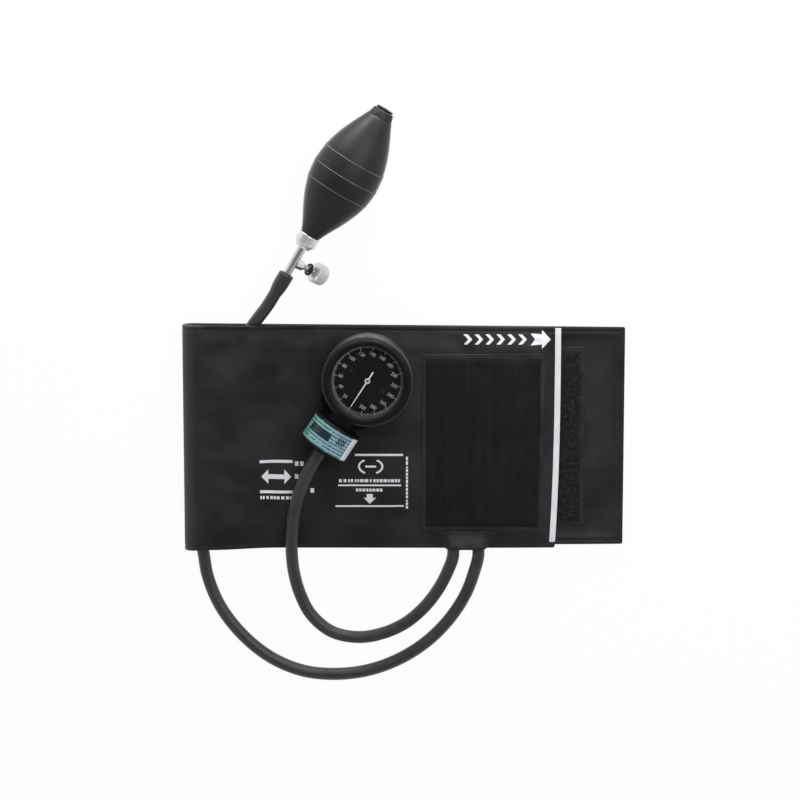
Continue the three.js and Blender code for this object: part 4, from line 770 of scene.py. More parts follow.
def leaf_grid():
    """The front leaf and the fold in one grid: its outer and inner points, the distance
    from the edge, and whether a point lies on the leaf."""
    s = sizes_mm()
    hem, seam = s["hem_thickness"], s["seam_inset"]
    pitch, even_columns = 4.2, 62
    v = edge_steps(CUFF_WIDTH, EDGE_STEPS, pitch)[:, None]
    side = np.minimum(v, CUFF_WIDTH - v)
    end_x = free_edge_x(place_across(v, 0, side, front_spare(0)))
    # Even steps from the fold, and then close ones down to the free edge
    reach = end_x - LEAF_START
    even = reach - np.linspace(0, 1, even_columns) * (reach - EDGE_STEPS[-1])
    close = np.broadcast_to(EDGE_STEPS[-2::-1], (len(v), len(EDGE_STEPS) - 1))
    near_x, near_y = round_corner(np.hstack([even, close]), side, CORNER)
    x = end_x - near_x
    y = place_across(v, x, near_y, front_spare(x))
    d = np.hstack([np.broadcast_to(side, even.shape), np.minimum(close, side)])
    # The hem runs out into the stack over 13 mm. The first 12 mm lead over from the fold,
    # which has the stack's own edge.
    body = hem + (LEAF_STACK - hem) * smooth((d - seam) / 13)
    hemmed = (body - groove(d, seam, 0.35, FURROW)) * round_edge(d)
    blend = smooth((x - LEAF_START) / 12)
    folded = LEAF_STACK * round_edge(d) - groove(d, seam, 0.25, FURROW)
    thick = hemmed * blend + folded * (1 - blend)
    # The last 9 mm droop, and the edge is rounded from below too.
    under = leaf_underside(x, y)
    droop = 0.7 * (1 - smooth(d / 9))
    lifted = 0.5 * hem * (1 - round_edge(d)) * blend
    low = (under + (LEAF_STACK - thick) / 2) * (1 - blend) + (under - droop + lifted) * blend
    outer, inner = fold_grid(v, side, seam)
    fold = np.broadcast_to(side, outer.shape[:2])
    return (
        np.hstack([outer, grid(x, y, low + thick)]),
        np.hstack([inner, grid(x, y, low)]),
        np.hstack([fold, d]),
        np.hstack([np.zeros_like(fold, bool), np.ones_like(d, bool)]),
    )


def swell(piece, free, cap):
    """Lets the cover's free points swell and wrinkle over the bladder, as cloth that is held
    along its seams does, and keeps the result. cap is the most that a point moves."""
    held = piece.vertex_groups.new(name="held")
    for index, weight in enumerate(free):
        held.add([index], 1 - float(weight), "REPLACE")
    cover = piece.modifiers.new("cover", "CLOTH")
    for key, value in {
        "vertex_group_mass": "held", "quality": 5, "mass": 0.15, "tension_stiffness": 25,
        "compression_stiffness": 25, "shear_stiffness": 10, "bending_stiffness": 0.35,
        "shrink_min": -0.012, "use_pressure": True, "uniform_pressure_force": 2.0,
    }.items():
        setattr(cover.settings, key, value)
    cover.settings.effector_weights.gravity = 0
    cover.collision_settings.use_collision = False
    scene, frames = bpy.context.scene, 20
    cover.point_cache.frame_start, cover.point_cache.frame_end = 1, frames
    for step in range(1, frames + 1):
        scene.frame_set(step)
    settled = piece.evaluated_get(bpy.context.evaluated_depsgraph_get())
    old, new = (np.zeros(len(free) * 3) for _ in range(2))
    piece.data.vertices.foreach_get("co", old)
    settled.to_mesh().vertices.foreach_get("co", new)
    settled.to_mesh_clear()
    moved = (new - old).reshape(-1, 3)
    far = np.linalg.norm(moved, axis=1, keepdims=True)
    moved *= cap * np.tanh(far / cap) / np.maximum(far, 1e-12)
    piece.modifiers.remove(cover)
    piece.vertex_groups.remove(held)
    scene.frame_set(1)
    piece.data.vertices.foreach_set("co", old + moved.ravel())
    piece.data.update()


def subdivide(piece):
    """One smooth subdivision, applied."""
    modifier = piece.modifiers.new("smoothed", "SUBSURF")
    modifier.levels = modifier.render_levels = 1
    graph = bpy.context.evaluated_depsgraph_get()
    mesh = bpy.data.meshes.new_from_object(piece.evaluated_get(graph))
    piece.modifiers.remove(modifier)
    piece.data = mesh
    for face in mesh.polygons:
        face.use_smooth = True


class SPHYG_OT_camera(bpy.types.Operator):
    """Place the camera almost straight above, a little towards the bulb"""

    bl_idname = "sphyg.camera"
    bl_label = "Camera"

    def execute(self, context):
        lens = bpy.data.cameras.new("studio_camera")
        lens.lens, lens.sensor_width, lens.sensor_fit = 115.3, 36.0, "HORIZONTAL"
        lens.clip_start, lens.clip_end = 0.05, 20.0
        camera = linked("studio_camera", lens)
        lean, distance = math.radians(8.5), 1.65
        aim = Vector((-2.58, 23.8, 3.0)) * MM
        camera.location = aim + Vector((0, math.sin(lean), math.cos(lean))) * distance
        camera.rotation_euler = (-lean, 0, 0)
        context.scene.camera = camera
        return {"FINISHED"}


class SPHYG_OT_hoses(bpy.types.Operator):
    """Lay the two rubber hoses along their routes"""

    bl_idname = "sphyg.hoses"
    bl_label = "Hoses"

    def execute(self, context):
        diameter = context.scene.sphyg_sizes.hose
        for name, node, route in (
            ("hose_to_gauge", "gauge_hose", GAUGE_HOSE_ROUTE),
            ("hose_to_bulb", "bulb_hose", BULB_HOSE_ROUTE),
        ):
            points = [p * MM for p in spline(route, 8)]
            curve = bpy.data.curves.new(name, "CURVE")
            curve.dimensions = "3D"
            curve.bevel_depth, curve.bevel_resolution = diameter / 2, 8
            curve.use_fill_caps = True
            line = curve.splines.new("POLY")
            line.points.add(len(points) - 1)
            for point, place in zip(line.points, points):
                point.co = (*place, 1)
            line.use_smooth = True
            curve.materials.append(finish("rubber_extruded"))
            hose = dress(linked(name, curve), "cuff", "hose_rubber", node)
            length = sum((b - a).length for a, b in zip(points, points[1:]))
            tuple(points[0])
        return {"FINISHED"}


class SPHYG_OT_cuff_front(bpy.types.Operator):
    """Sew the front leaf and the fold, with the cover settled over the bladder"""

    bl_idname = "sphyg.cuff_front"
    bl_label = "Front leaf and fold"

    def execute(self, context):
        outer, inner, depth, on_leaf = leaf_grid()
        leaf = closed_slab("cuff_front", outer, inner, ["coated_nylon_woven"], sharp=180)
        # The mesh lost its double points, so each point is matched by its place.
        roomy = smooth((depth - 4.5) / 6) * on_leaf
        weights = roomy * smooth((outer[..., 0] - LEAF_START - 2) / 10)
        placed = np.round(outer.reshape(-1, 3) * MM, 7)
        finder = {tuple(p): w for p, w in zip(placed, weights.ravel())}
        free = [finder.get(tuple(np.round(np.array(v.co), 7)), 0.0) for v in leaf.data.vertices]
        swell(leaf, free, context.scene.sphyg_sizes.puff)
        subdivide(leaf)
        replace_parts(leaf, "front_cover", "front_lining", "front_hem", "bladder", "cuff_fold")
        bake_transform(leaf)
        inset = sizes_mm()["seam_inset"]
        xs = np.linspace(LEAF_START + 1, 96, 40)
        top = [(x, half_width(x) - inset) for x in xs]
        right = [(free_edge_x(y) - inset, y) for y in np.linspace(66, -66, 24)]
        bottom = [(x, inset - half_width(x) - front_spare(x)) for x in xs[::-1]]
        stitches("front_seam", "cuff_front", top[:-1] + right + bottom[1:], "cuff", "cuff_nylon")
        return {"FINISHED"}


class SPHYG_OT_cuff_back(bpy.types.Operator):
    """Sew the back leaf, with its hem and its hook patch"""

    bl_idname = "sphyg.cuff_back"
    bl_label = "Back leaf"

    def execute(self, context):
        fabric = 1.15
        start = LEAF_START - 0.3
        u = edge_steps(BACK_REACH - start, EDGE_STEPS, 7)
        v = edge_steps(CUFF_WIDTH, EDGE_STEPS, 7)[:, None]
        side, end = np.minimum(v, CUFF_WIDTH - v), BACK_REACH - start - u
        near_x, near_y = round_corner(end, side, CORNER)
        x = BACK_REACH - near_x
        y = place_across(v, x, near_y)
        d = np.minimum(side, end)
        full = round_edge(d, 0.8)
        # The hem is turned in by about 6 mm, and is 0.7 mm thicker.
        hem = 0.7 * (1 - smooth((d - 6.2) / 0.8))
        thick = (fabric + hem - groove(d, 3, 0.35, FURROW)) * full
        low = 0.5 * (fabric + hem) * (1 - full) * (u > 0)
        # The free end waves a little and lifts off the table.
        draw = random.Random(7)
        phase = [draw.uniform(0, 6) for _ in range(2)]
        away = smooth((x - 96) / 30)
        wave = 0.25 * away * (np.sin(x / 17 + y / 23 + phase[0]) + np.sin(y / 14 + phase[1]))
        top = grid(x, y, low + thick + wave * 0.5 * (d > 0.3) + away * 0.3)
        bottom = grid(x, y, low + away * 0.1)
        back = closed_slab("cuff_back", top, bottom, ["coated_nylon_woven"], sharp=60)
        dress(back, "back_leaf", "cuff_nylon", "back_leaf")
        inset = sizes_mm()["seam_inset"]
        line = np.linspace(LEAF_START + 30, BACK_REACH - inset - 2, 40)
        above = [(x, half_width(x) - inset) for x in line]
        below = [(x, inset - half_width(x)) for x in line[::-1]]
        across = [(BACK_REACH - inset, y) for y in np.linspace(64, -64, 12)]
        stitches("back_seam", "cuff_back", above + across + below, "back_leaf", "cuff_nylon")
        patch = patch_on(
            "hook_patch_tape", "cuff_back", HOOK_BOX, lift=0.15, thickness=0.95, pitch=(1.4, 1.4),
            pile="nylon_hooks_moulded", rough=0.22,
        )
        dress(patch, "back_leaf", "hook_pile", "hook_patch")
        seam = rectangle(*HOOK_BOX, PATCH_SEAM)
        stitches("hook_seam", "hook_patch_tape", seam, "back_leaf", "hook_pile")
        return {"FINISHED"}


def patch_on(name, under, box, lift, thickness, pitch, pile, rough, splay=0):
    """A sewn patch that lies on a piece: a flat border band round a raised pile field. Its
    right edge leans out by splay at the top."""
    left, right, low, high = box
    band = 2.6
    edges = [0, 0.2, 0.6, 1.2, 1.4, 1.6, band - 0.2, band, band + 0.5]
    xs = left + edge_steps(right - left, edges, pitch[0])
    ys = (low + edge_steps(high - low, edges, pitch[1]))[:, None]
    draw = random.Random(11)
    ridge = np.array([draw.uniform(-1, 1) for _ in xs])
    speck = np.array([[draw.uniform(-1, 1) for _ in xs] for _ in ys])
    dx, dy = np.minimum(xs - left, right - xs), np.minimum(ys - low, high - ys)
    near_x, near_y = round_corner(dx, dy, 1.5)
    x = np.where(xs - left < right - xs, left + near_x, right - near_x)
    y = np.where(ys - low < high - ys, low + near_y, high - near_y)
    x = x + splay * (x - left) / (right - left) * (y - low) / (high - low)
    d = np.minimum(dx, dy)
    field = smooth((d - band) / 0.7)
    wild = rough * (0.5 * ridge + 0.5 * speck) * field
    height = (0.62 - groove(d, PATCH_SEAM, 0.2, 0.3)) * thickness + 0.38 * thickness * field + wild * 0.6
    base = levels(surface_of(under), x, y) + lift
    far_x, far_y, border = len(xs) - 2, len(ys) - 2, len(edges) - 3
    return closed_slab(
        name, grid(x, y, base + height * round_edge(d, 0.5)), grid(x, y, base),
        [pile, "nylon_tape_woven"], sharp=50,
        pick=lambda j, i: int(min(i, j, far_x - i, far_y - j) < border),
    )


class SPHYG_OT_loop_patch(bpy.types.Operator):
    """Sew the loop patch on the front leaf"""

    bl_idname = "sphyg.loop_patch"
    bl_label = "Loop patch"

    def execute(self, context):
        patch = patch_on(
            "loop_patch_pile", "cuff_front", LOOP_BOX, lift=0.1, thickness=1.1, pitch=(0.8, 2.6),
            pile="nylon_loops_brushed", rough=0.16, splay=1.4,
        )
        dress(patch, "cuff", "loop_pile", "loop_patch")
        seam = rectangle(*LOOP_BOX, PATCH_SEAM)
        stitches("loop_seam", "loop_patch_pile", seam, "cuff", "loop_pile")
        return {"FINISHED"}


class SPHYG_OT_outlet(bpy.types.Operator):
    """Arch the cloth tab over the two ports of the bladder"""

    bl_idname = "sphyg.outlet"
    bl_label = "Hose outlet"

    def execute(self, context):
        centre, width, start, end = 40.2, 38.0, -61.3, -73.4
        arch_top, fabric = 9.9, 0.7
        edges = [0, 0.3, 0.8, 1.6]
        x = centre - width / 2 + edge_steps(width, edges, 1.2)
        y = (end + edge_steps(start - end, edges, 1.0))[:, None]
        edge = width / 2 - abs(x - centre)
        arch = smooth((edge - 1.8) / 7) * smooth((start - y) / 11)
        seat = levels(surface_of("cuff_front"), x, np.maximum(y, -70.6)) + 0.1
        base = seat + (arch_top - seat - groove(x, centre, 0.6, 2.8)) * arch
        d = np.minimum(edge, np.minimum(start - y, y - end))
        half = 0.5 * fabric * round_edge(d, 0.5)
        # The tab draws in towards its free edge, and its sides draw back from it.
        drawn = y + 2.6 * (1 - smooth((edge - 0.5) / 7)) * (start - y) / (start - end)
        x = x + 0.04 * (centre - x) * smooth((start - y) / 10)
        top = grid(x, drawn, base + fabric / 2 + half)
        bottom = grid(x, drawn, base + fabric / 2 - half)
        tab = closed_slab("outlet_tab_cloth", top, bottom, ["coated_nylon_woven"], sharp=60)
        dress(tab, "cuff", "cuff_nylon", "hose_outlet_tab")
        for hose, x in (("gauge", GAUGE_HOSE_X), ("bulb", BULB_HOSE_X)):
            turned(
                f"port_of_{hose}_hose", shift(x, 0, PORT_LEVEL) @ turn(-90, "X"), "rubber_extruded",
                48, ("cuff", "hose_rubber", f"bladder_port_{hose}"),
                [(2, -74.2, 0), (4, -74.2, 0.3), (4, -72, 1), (2.1, -66.8, 0.5), (1.5, -65.4, 0.2),
                 (1, -65.4, 0), (1.1, -66.8, 0), (2, -71, 0)],
            )
        return {"FINISHED"}


def bar(x, y, width, height):
    """The corners of an upright rectangle round its middle."""
    a, b = width / 2, height / 2
    return [(x - a, y - b), (x + a, y - b), (x + a, y + b), (x - a, y + b)]


def dashes(draw, ends, y, height):
    """A row of plain dashes of mixed lengths."""
    x, row = ends[0], []
    while x < ends[1] - 1:
        width = min(draw.choice((1.1, 1.5, 1.9, 2.4)), ends[1] - x)
        row.append(bar(x + width / 2, y, width, height))
        x += width + draw.choice((0.55, 0.55, 1.1))
    return row


class SPHYG_OT_prints(bpy.types.Operator):
    """Print the plain marks on the front leaf and lay the white index tape"""

    bl_idname = "sphyg.prints"
    bl_label = "Prints and index tape"

    def execute(self, context):
        tree = surface_of("cuff_front")
        self.index_tape(tree)
        shapes = [
            # The arrow that points at the index tape
            [(81.1, 59.6), (84.0, 63.4), (81.1, 67.2), (88.4, 66.6), (88.4, 69.4), (94.0, 63.4),
             (88.4, 57.4), (88.4, 60.2)],
            # The arrow that marks the artery
            [(-24.1, -36.9), (-24.1, -39.4), (-26.1, -39.4), (-22.1, -43.4), (-18.1, -39.4),
             (-20.1, -39.4), (-20.1, -36.9)],
            bar(-16.1, -11.3, 30.9, 1.4), bar(-22.2, -31.2, 40.6, 1.1),
            bar(-22.2, -44.9, 44.1, 1.1),
        ]
        # Chevrons that lead up to the arrow
        for k in range(6):
            x = 38.2 + 7 * k
            shapes.append([(x, 60.2), (x + 2.5, 60.2), (x + 5.5, 63.4), (x + 2.5, 66.6),
                           (x, 66.6), (x + 3.0, 63.4)])
        # Rows of plain dashes over the artery mark, and a column of them beside it
        draw = random.Random(5)
        shapes += dashes(draw, (-42.0, -1.8), -28.2, 2.0)
        shapes += dashes(draw, (-31.0, -13.2), -34.3, 1.9)
        shapes += [[(y, x) for x, y in one] for one in dashes(draw, (-46.8, -12.4), 1.9, 1.3)]
        # A plain ring of two brackets, and a two-way arrow for the range
        turns = [math.radians(q) for q in range(-62, 63, 6)]
        for side in (1, -1):
            ring = [(side * 8.2 * math.cos(q), 5.4 * math.sin(q)) for q in turns]
            ring += [(side * 6.9 * math.cos(q), 4.2 * math.sin(q)) for q in reversed(turns)]
            shapes.append([(-21.5 + x, -18.9 + y) for x, y in ring])
        shapes += [
            bar(-21.5, -18.9, 7.0, 1.3), bar(-82.4, -15.6, 21.2, 1.9), bar(-82.4, -35.6, 21.2, 1.9),
            [(-92.0, -25.6), (-87.6, -30.4), (-87.6, -27.1), (-77.2, -27.1), (-77.2, -30.4),
             (-72.8, -25.6), (-77.2, -20.8), (-77.2, -24.1), (-87.6, -24.1), (-87.6, -20.8)],
        ]
        shapes += dashes(draw, (-92.8, -70.5), -39.4, 2.0)
        shapes += [bar(-69.2 + 3.3 * k, y, 2.3, 3.0) for y in (-17.0, -25.4) for k in (0, 1)]
        shapes.append(bar(-59.2, -34.6, 2.3, 3.0))
        dress(films("cuff_print", tree, shapes), "cuff", "white_print")
        return {"FINISHED"}

    def index_tape(self, tree):
        width, thick, sunk, gap, droop = 3.9, 0.35, 0.25, 0.05, 0.25
        y = np.linspace(70.6, -68.9, 90)[:, None]
        u = np.array([0, 0.15, 0.5, 1.3, 2.6, 3.4, 3.75, width])
        edge = free_edge_x(y)
        base = np.maximum.reduce([levels(tree, edge - q, y) for q in (2.0, 3.0, 4.2)])
        base = base + gap - droop * (u / width) ** 3
        x = edge - width - 0.15 + u
        between = (u > 0) & (u < width)
        top, bottom = grid(x, y, base + thick * between), grid(x, y, base - sunk * between)
        strip = closed_slab("index_tape", top, bottom, ["vinyl_ink_printed"], sharp=60)
        dress(strip, "cuff", "white_print", "index_strip")


def films(name, tree, shapes):
    """Thin films of ink in the given outlines, cut up finely and laid on a surface."""
    film = sizes_mm()["print_film"]
    pitch, gap = 1.1, 0.03
    points, faces = [], []
    for outline in shapes:
        ring = []
        for a, b in zip(outline, outline[1:] + outline[:1]):
            a, b = Vector(a), Vector(b)
            parts = max(1, round((b - a).length / pitch))
            ring += [a.lerp(b, k / parts) for k in range(parts)]
        edges = [(k, (k + 1) % len(ring)) for k in range(len(ring))]
        low = [min(p[i] for p in ring) + pitch / 2 for i in (0, 1)]
        high = [max(p[i] for p in ring) for i in (0, 1)]
        xs, ys = (np.arange(low[i], high[i], pitch) for i in (0, 1))
        inner = [Vector((x, y)) for x in xs for y in ys]
        spots, _, tiles, *_ = delaunay_2d_cdt(ring + inner, edges, [], 1, 1e-5)
        used = {(tile[k], tile[(k + 1) % 3]) for tile in tiles for k in range(3)}
        first, count = len(points), len(spots)
        bases = [Vector((*spot, level(tree, *spot) + gap)) for spot in spots]
        points += [p * MM for p in bases] + [(p + Vector((0, 0, film))) * MM for p in bases]
        for a, b, c in tiles:
            faces += [[first + c, first + b, first + a], [first + count + q for q in (a, b, c)]]
        for a, b in sorted(used):
            if (b, a) not in used:
                faces.append([first + a, first + b, first + count + b, first + count + a])
    return meshed(name, points, faces, materials=["vinyl_ink_printed"], smooth=False)


# Gauge


def bumper_ribs(radius, height, angle):
    """Eighty shallow grip ribs round the bumper's side."""
    if not 9 < height < 20.5 or radius < 28.9:
        return radius
    return radius - 0.12 * (0.5 + 0.5 * math.cos(angle * 80))


class SPHYG_OT_gauge_case(bpy.types.Operator):
    """Mould the gauge's case, bumper, bezel, lens and bracket"""

    bl_idname = "sphyg.gauge_case"
    bl_label = "Gauge case"

    def execute(self, context):
        turned(
            "case_moulded", GAUGE, "abs_moulded", 128, ("cuff", "black_plastic", "gauge_case"),
            [(0, 1.8, 0), (26, 1.8, 1.2), (27.5, 3.3, 1), (27.5, 25, 0.3), (25.5, 25, 0.2),
             (25.5, 19.7, 0), (23.1, 19.7, 0), (23.1, 3.8, 0), (0, 3.8, 0)],
        )
        turned(
            "case_neck", NECK, "abs_moulded", 64, ("cuff", "black_plastic"),
            [(2.8, 26.2, 0), (8.5, 26.2, 0), (8.5, 33.7, 0.4), (2.8, 33.7, 0)],
        )
        turned(
            "bumper_ring", GAUGE, "nitrile_rubber_moulded", 160,
            ("cuff", "black_rubber", "rubber_bumper"),
            [(27.2, 6.3, 0.1), (29, 6.3, 0.6), (29, 24.8, 1.7), (27.2, 25.2, 0.1)], 10,
            warp=bumper_ribs,
        )
        quarter = math.pi / 2
        shoulder = [
            (25.2 + 2.6 * math.cos(a), 26.4 + 3.2 * math.sin(a)) for a in np.linspace(0, quarter, 14)
        ]
        bezel = [(25.5, 25.3), (27.8, 25.3), *shoulder, (24.4, 29.5), (23.3, 28.95), (22.9, 28.6),
                 (23.2, 28.3), (25.2, 28.3)]
        ring = lathe("bezel_moulded", bezel, GAUGE, ["abs_moulded"], 160)
        dress(ring, "cuff", "black_plastic", "bezel_ring")
        dome = [(23.1 * math.cos(a), 28.1 + 0.8 * math.sin(a)) for a in np.linspace(0, quarter, 12)]
        under = [(r, 27.4 - 0.8 * (r / 19.4) ** 2) for r in np.linspace(0, 19.4, 8)]
        lens = [*under, (21.9, 26.6), (24.9, 26.6), (24.9, 28.1), *dome[:-1], (0, 28.9)]
        glass = lathe("lens_acrylic", lens, GAUGE, ["acrylic_polished"], 128)
        dress(glass, "cuff", "clear_lens", "lens")
        # The flat foot: a disc with a chamfered tongue towards the neck
        disc, tongue = 21, -33.4
        begin = math.asin(-10.8 / disc)
        outline = [(-18, tongue + 5), (-13, tongue), (13, tongue), (18, tongue + 5)]
        outline += [
            (disc * math.cos(a), disc * math.sin(a)) for a in np.linspace(begin, math.pi - begin, 48)
        ]
        foot = prism("bracket_moulded", outline, 0, 1.5, "abs_moulded", bevel=0.35)
        dress(foot, "cuff", "black_plastic", "gauge_bracket")
        return {"FINISHED"}


class SPHYG_OT_gauge_dial(bpy.types.Operator):
    """Print the dial and its scale, and set the pointer at zero"""

    bl_idname = "sphyg.gauge_dial"
    bl_label = "Dial and pointer"

    def execute(self, context):
        turned(
            "dial_painted", GAUGE, "enamel_matt_sprayed", 128, ("cuff", "dial_paint", "dial_plate"),
            [(1.5, 20, 0), (25.2, 20, 0.1), (25.2, 20.6, 0.1), (1.5, 20.6, 0)],
        )
        turned(
            "dial_rim", GAUGE, "aluminium_anodised", 128, ("cuff", "steel", "dial_ring"),
            [(23.2, 20.9, 0.1), (25.2, 20.9, 0), (25.2, 26.3, 0), (24.4, 26.3, 0.2)],
        )
        turned(
            "scale_band", GAUGE, "aluminium_anodised", 128, ("cuff", "dial_paint"),
            [(20.9, 20.62, 0), (23.15, 20.62, 0), (23.15, 20.75, 0), (20.9, 20.75, 0)],
        )
        self.ticks()
        self.numbers()
        # A tapered needle with a flared tail, and a ring for its hub
        outline = [(-0.42, -1.5), (-0.24, -18.9), (0, -20), (0.24, -18.9), (0.42, -1.5), (0.4, 2),
                   (0.55, 6.7), (-0.55, 6.7), (-0.4, 2)]
        needle = prism("pointer_painted", outline, 22, 0.4, "vinyl_ink_printed")
        dress(needle, "pointer", "white_paint", "pointer")
        turned(
            "pointer_hub", GAUGE, "vinyl_ink_printed", 48, ("pointer", "white_paint"),
            [(0.95, 21.6, 0), (1.75, 21.6, 0.1), (1.75, 22.7, 0.25), (0.95, 22.7, 0.2)],
        )
        turned(
            "pointer_plug", GAUGE, "enamel_matt_sprayed", 32, ("pointer", "white_paint"),
            [(0, 22, 0), (0.94, 22, 0), (0.94, 22.55, 0.1), (0, 22.55, 0)],
        )
        return {"FINISHED"}

    def way(self, value):
        """The way from the dial's middle to a pressure in mmHg, clockwise from the neck."""
        angle = math.radians(value / 20 * 22.5)
        return Vector((-math.sin(angle), -math.cos(angle)))

    def ticks(self):
        """Ticks every 2 mmHg, longer at every 10 and longest at every 20."""
        outer, low, high = 22.4, 20.76, 20.8
        points, faces = [], []
        for value in range(0, 301, 2):
            inner, width = (21.5, 0.12) if value % 10 else (20.9, 0.2) if value % 20 else (19.6, 0.3)
            out = self.way(value)
            side = Vector((out.y, -out.x)) * width / 2
            first = len(points)
            for z in (low, high):
                for r, sign in ((inner, 1), (inner, -1), (outer, -1), (outer, 1)):
                    points.append(GAUGE @ Vector((*(out * r + side * sign), z)) * MM)
            for quad in ((3, 2, 1, 0), (4, 5, 6, 7), (0, 1, 5, 4), (1, 2, 6, 5), (2, 3, 7, 6),
                         (3, 0, 4, 7)):
                faces.append([first + q for q in quad])
        marks = meshed("scale_ticks", points, faces, materials=["ink_pad_printed"], smooth=False)
        dress(marks, "cuff", "white_paint")

    def numbers(self):
        """A number at every 20 mmHg."""
        reach, low = 17.3, 20.66
        work = bmesh.new()
        for value in range(20, 301, 20):
            text = bpy.data.curves.new("number", "FONT")
            text.body = str(value)
            text.size, text.extrude, text.offset = 3.1 * MM, 0.02 * MM, 0.02 * MM
            text.align_x, text.align_y = "CENTER", "CENTER"
            text.space_character = 0.95
            holder = linked("number", text)
            bpy.context.view_layer.update()
            graph = bpy.context.evaluated_depsgraph_get()
            mesh = bpy.data.meshes.new_from_object(holder.evaluated_get(graph))
            place = GAUGE @ Vector((*(self.way(value) * reach), low)) * MM
            mesh.transform(shift(*place) @ GAUGE.to_3x3().to_4x4())
            work.from_mesh(mesh)
            bpy.data.objects.remove(holder)
        mesh = bpy.data.meshes.new("scale_numbers")
        work.to_mesh(mesh)
        work.free()
        numbers = finished("scale_numbers", mesh, ["ink_pad_printed"], smooth=False)
        dress(numbers, "cuff", "white_paint")


class SPHYG_OT_neck_cap(bpy.types.Operator):
    """Turn the cap on the gauge's neck and wrap its foil label round it"""

    bl_idname = "sphyg.neck_cap"
    bl_label = "Neck cap and label"

    def execute(self, context):
        turned(
            "cap_moulded", NECK, "abs_moulded", 128, ("cuff", "black_plastic", "neck_cap"),
            [(2.8, 34, 0), (15, 34, 0.6), (15.75, 34.8, 0.6), (15.75, 52.2, 0.6), (15, 53, 0.6),
             (6.8, 53, 0.4), (6, 53.6, 0.3), (6, 55.3, 0.5), (4.1, 55.3, 0.3), (4.1, 50, 0),
             (2.8, 50, 0)],
        )
        steps_round, steps_along = 72, 20
        start, end, outside, inside = 35.6, 51.4, 16.06, 15.86
        turns = [math.pi * i / steps_round for i in range(steps_round + 1)]
        places = [start + (end - start) * j / steps_along for j in range(steps_along + 1)]
        top, bottom = (
            np.array([
                [GAUGE @ Vector((r * math.cos(a), -y, NECK_AXIS + r * math.sin(a))) for a in turns]
                for y in places
            ])
            for r in (outside, inside)
        )

        def pick(j, i):
            """The band's materials: 0 the shaded foil, 1 its white end, 2 its dark panels."""
            x = math.cos(math.pi * (i + 0.5) / steps_round)
            v = (j + 0.5) / steps_along
            panel = -0.9 < x < -0.03 and 0.26 < v < 0.62
            checks = 0.24 < x < 0.6 and 0.2 < v < 0.5 and (j + i) % 3
            return 1 if x > 0.76 else 2 if panel or checks else 0

        foils = ["foil_printed", "foil_printed_white", "foil_printed_dark"]
        label = closed_slab("label_foil", top, bottom, foils, sharp=50, pick=pick)
        dress(label, "cuff", "teal_label", "cap_label")
        return {"FINISHED"}


# Bulb and valve


def bulb_radius(y):
    """The bulb's outline: a full middle that runs out to its two necks."""
    widest, full, length = 43.5, 22.1, 91
    end = 6.7 if y < widest else 6.4
    share = (y - widest) / (widest if y < widest else length - widest)
    return end + (full - end) * max(0, 1 - share * share) ** 1.3


class SPHYG_OT_bulb(bpy.types.Operator):
    """Mould the rubber bulb with its three flash lines and its intake lip"""

    bl_idname = "sphyg.bulb"
    bl_label = "Bulb"

    def execute(self, context):
        # Three fine ridges where the mould parted, with the rings of points beside them
        lines = (33.4, 44, 55)
        beside = (-0.6, -0.3, -0.12, 0.12, 0.3, 0.6)
        places = set(np.round(np.linspace(0.6, 85.6, 60), 3))
        places |= {round(line + step, 3) for line in lines for step in beside}

        def outer(y):
            ridge = max(0.28 * math.exp(-(((y - line) / 0.22) ** 2)) for line in lines)
            return bulb_radius(y) + ridge

        lip = rounded(
            [(outer(85.6), 85.6, 0), (8.0, 86.0, 0.2), (8.05, 86.4, 0.2), (6.75, 90.6, 0.3),
             (6.2, 91, 0.3), (4, 91, 0.3)]
        )
        inside = [(max(bulb_radius(y) - 2.2, 4), y) for y in np.linspace(83, 8, 14)]
        profile = [(4, 0), (6.2, 0), *[(outer(y), y) for y in sorted(places)], *lip[1:], *inside]
        bulb = lathe(
            "bulb_moulded", profile, BULB, ["rubber_moulded", "rubber_flash_trimmed"], 128,
            pick=lambda y: int(any(abs(y - line) < 0.2 for line in lines)),
        )
        dress(bulb, "cuff", "black_rubber", "bulb")
        turned(
            "intake_body", BULB, "abs_moulded", 64, ("cuff", "black_plastic", "intake_valve_body"),
            [(0.9, 84.6, 0), (3.9, 84.6, 0), (3.9, 91.3, 0), (5.6, 91.3, 0.2), (5.6, 92.3, 0.4),
             (2.4, 92.3, 0.3), (0.9, 91.2, 0)],
        )
        return {"FINISHED"}


def collar_flats(radius, height, angle):
    """Eight soft flats round the collar's body."""
    if radius < 6 or height < -7:
        return radius
    return radius - 0.16 * (0.5 - 0.5 * math.cos(angle * 8))


def knurl(radius, height, angle):
    """Thirty straight ridges round the knob."""
    if radius < 5.8:
        return radius
    return radius - 0.4 * (1 - abs(math.sin(angle * 15)) ** 0.6)


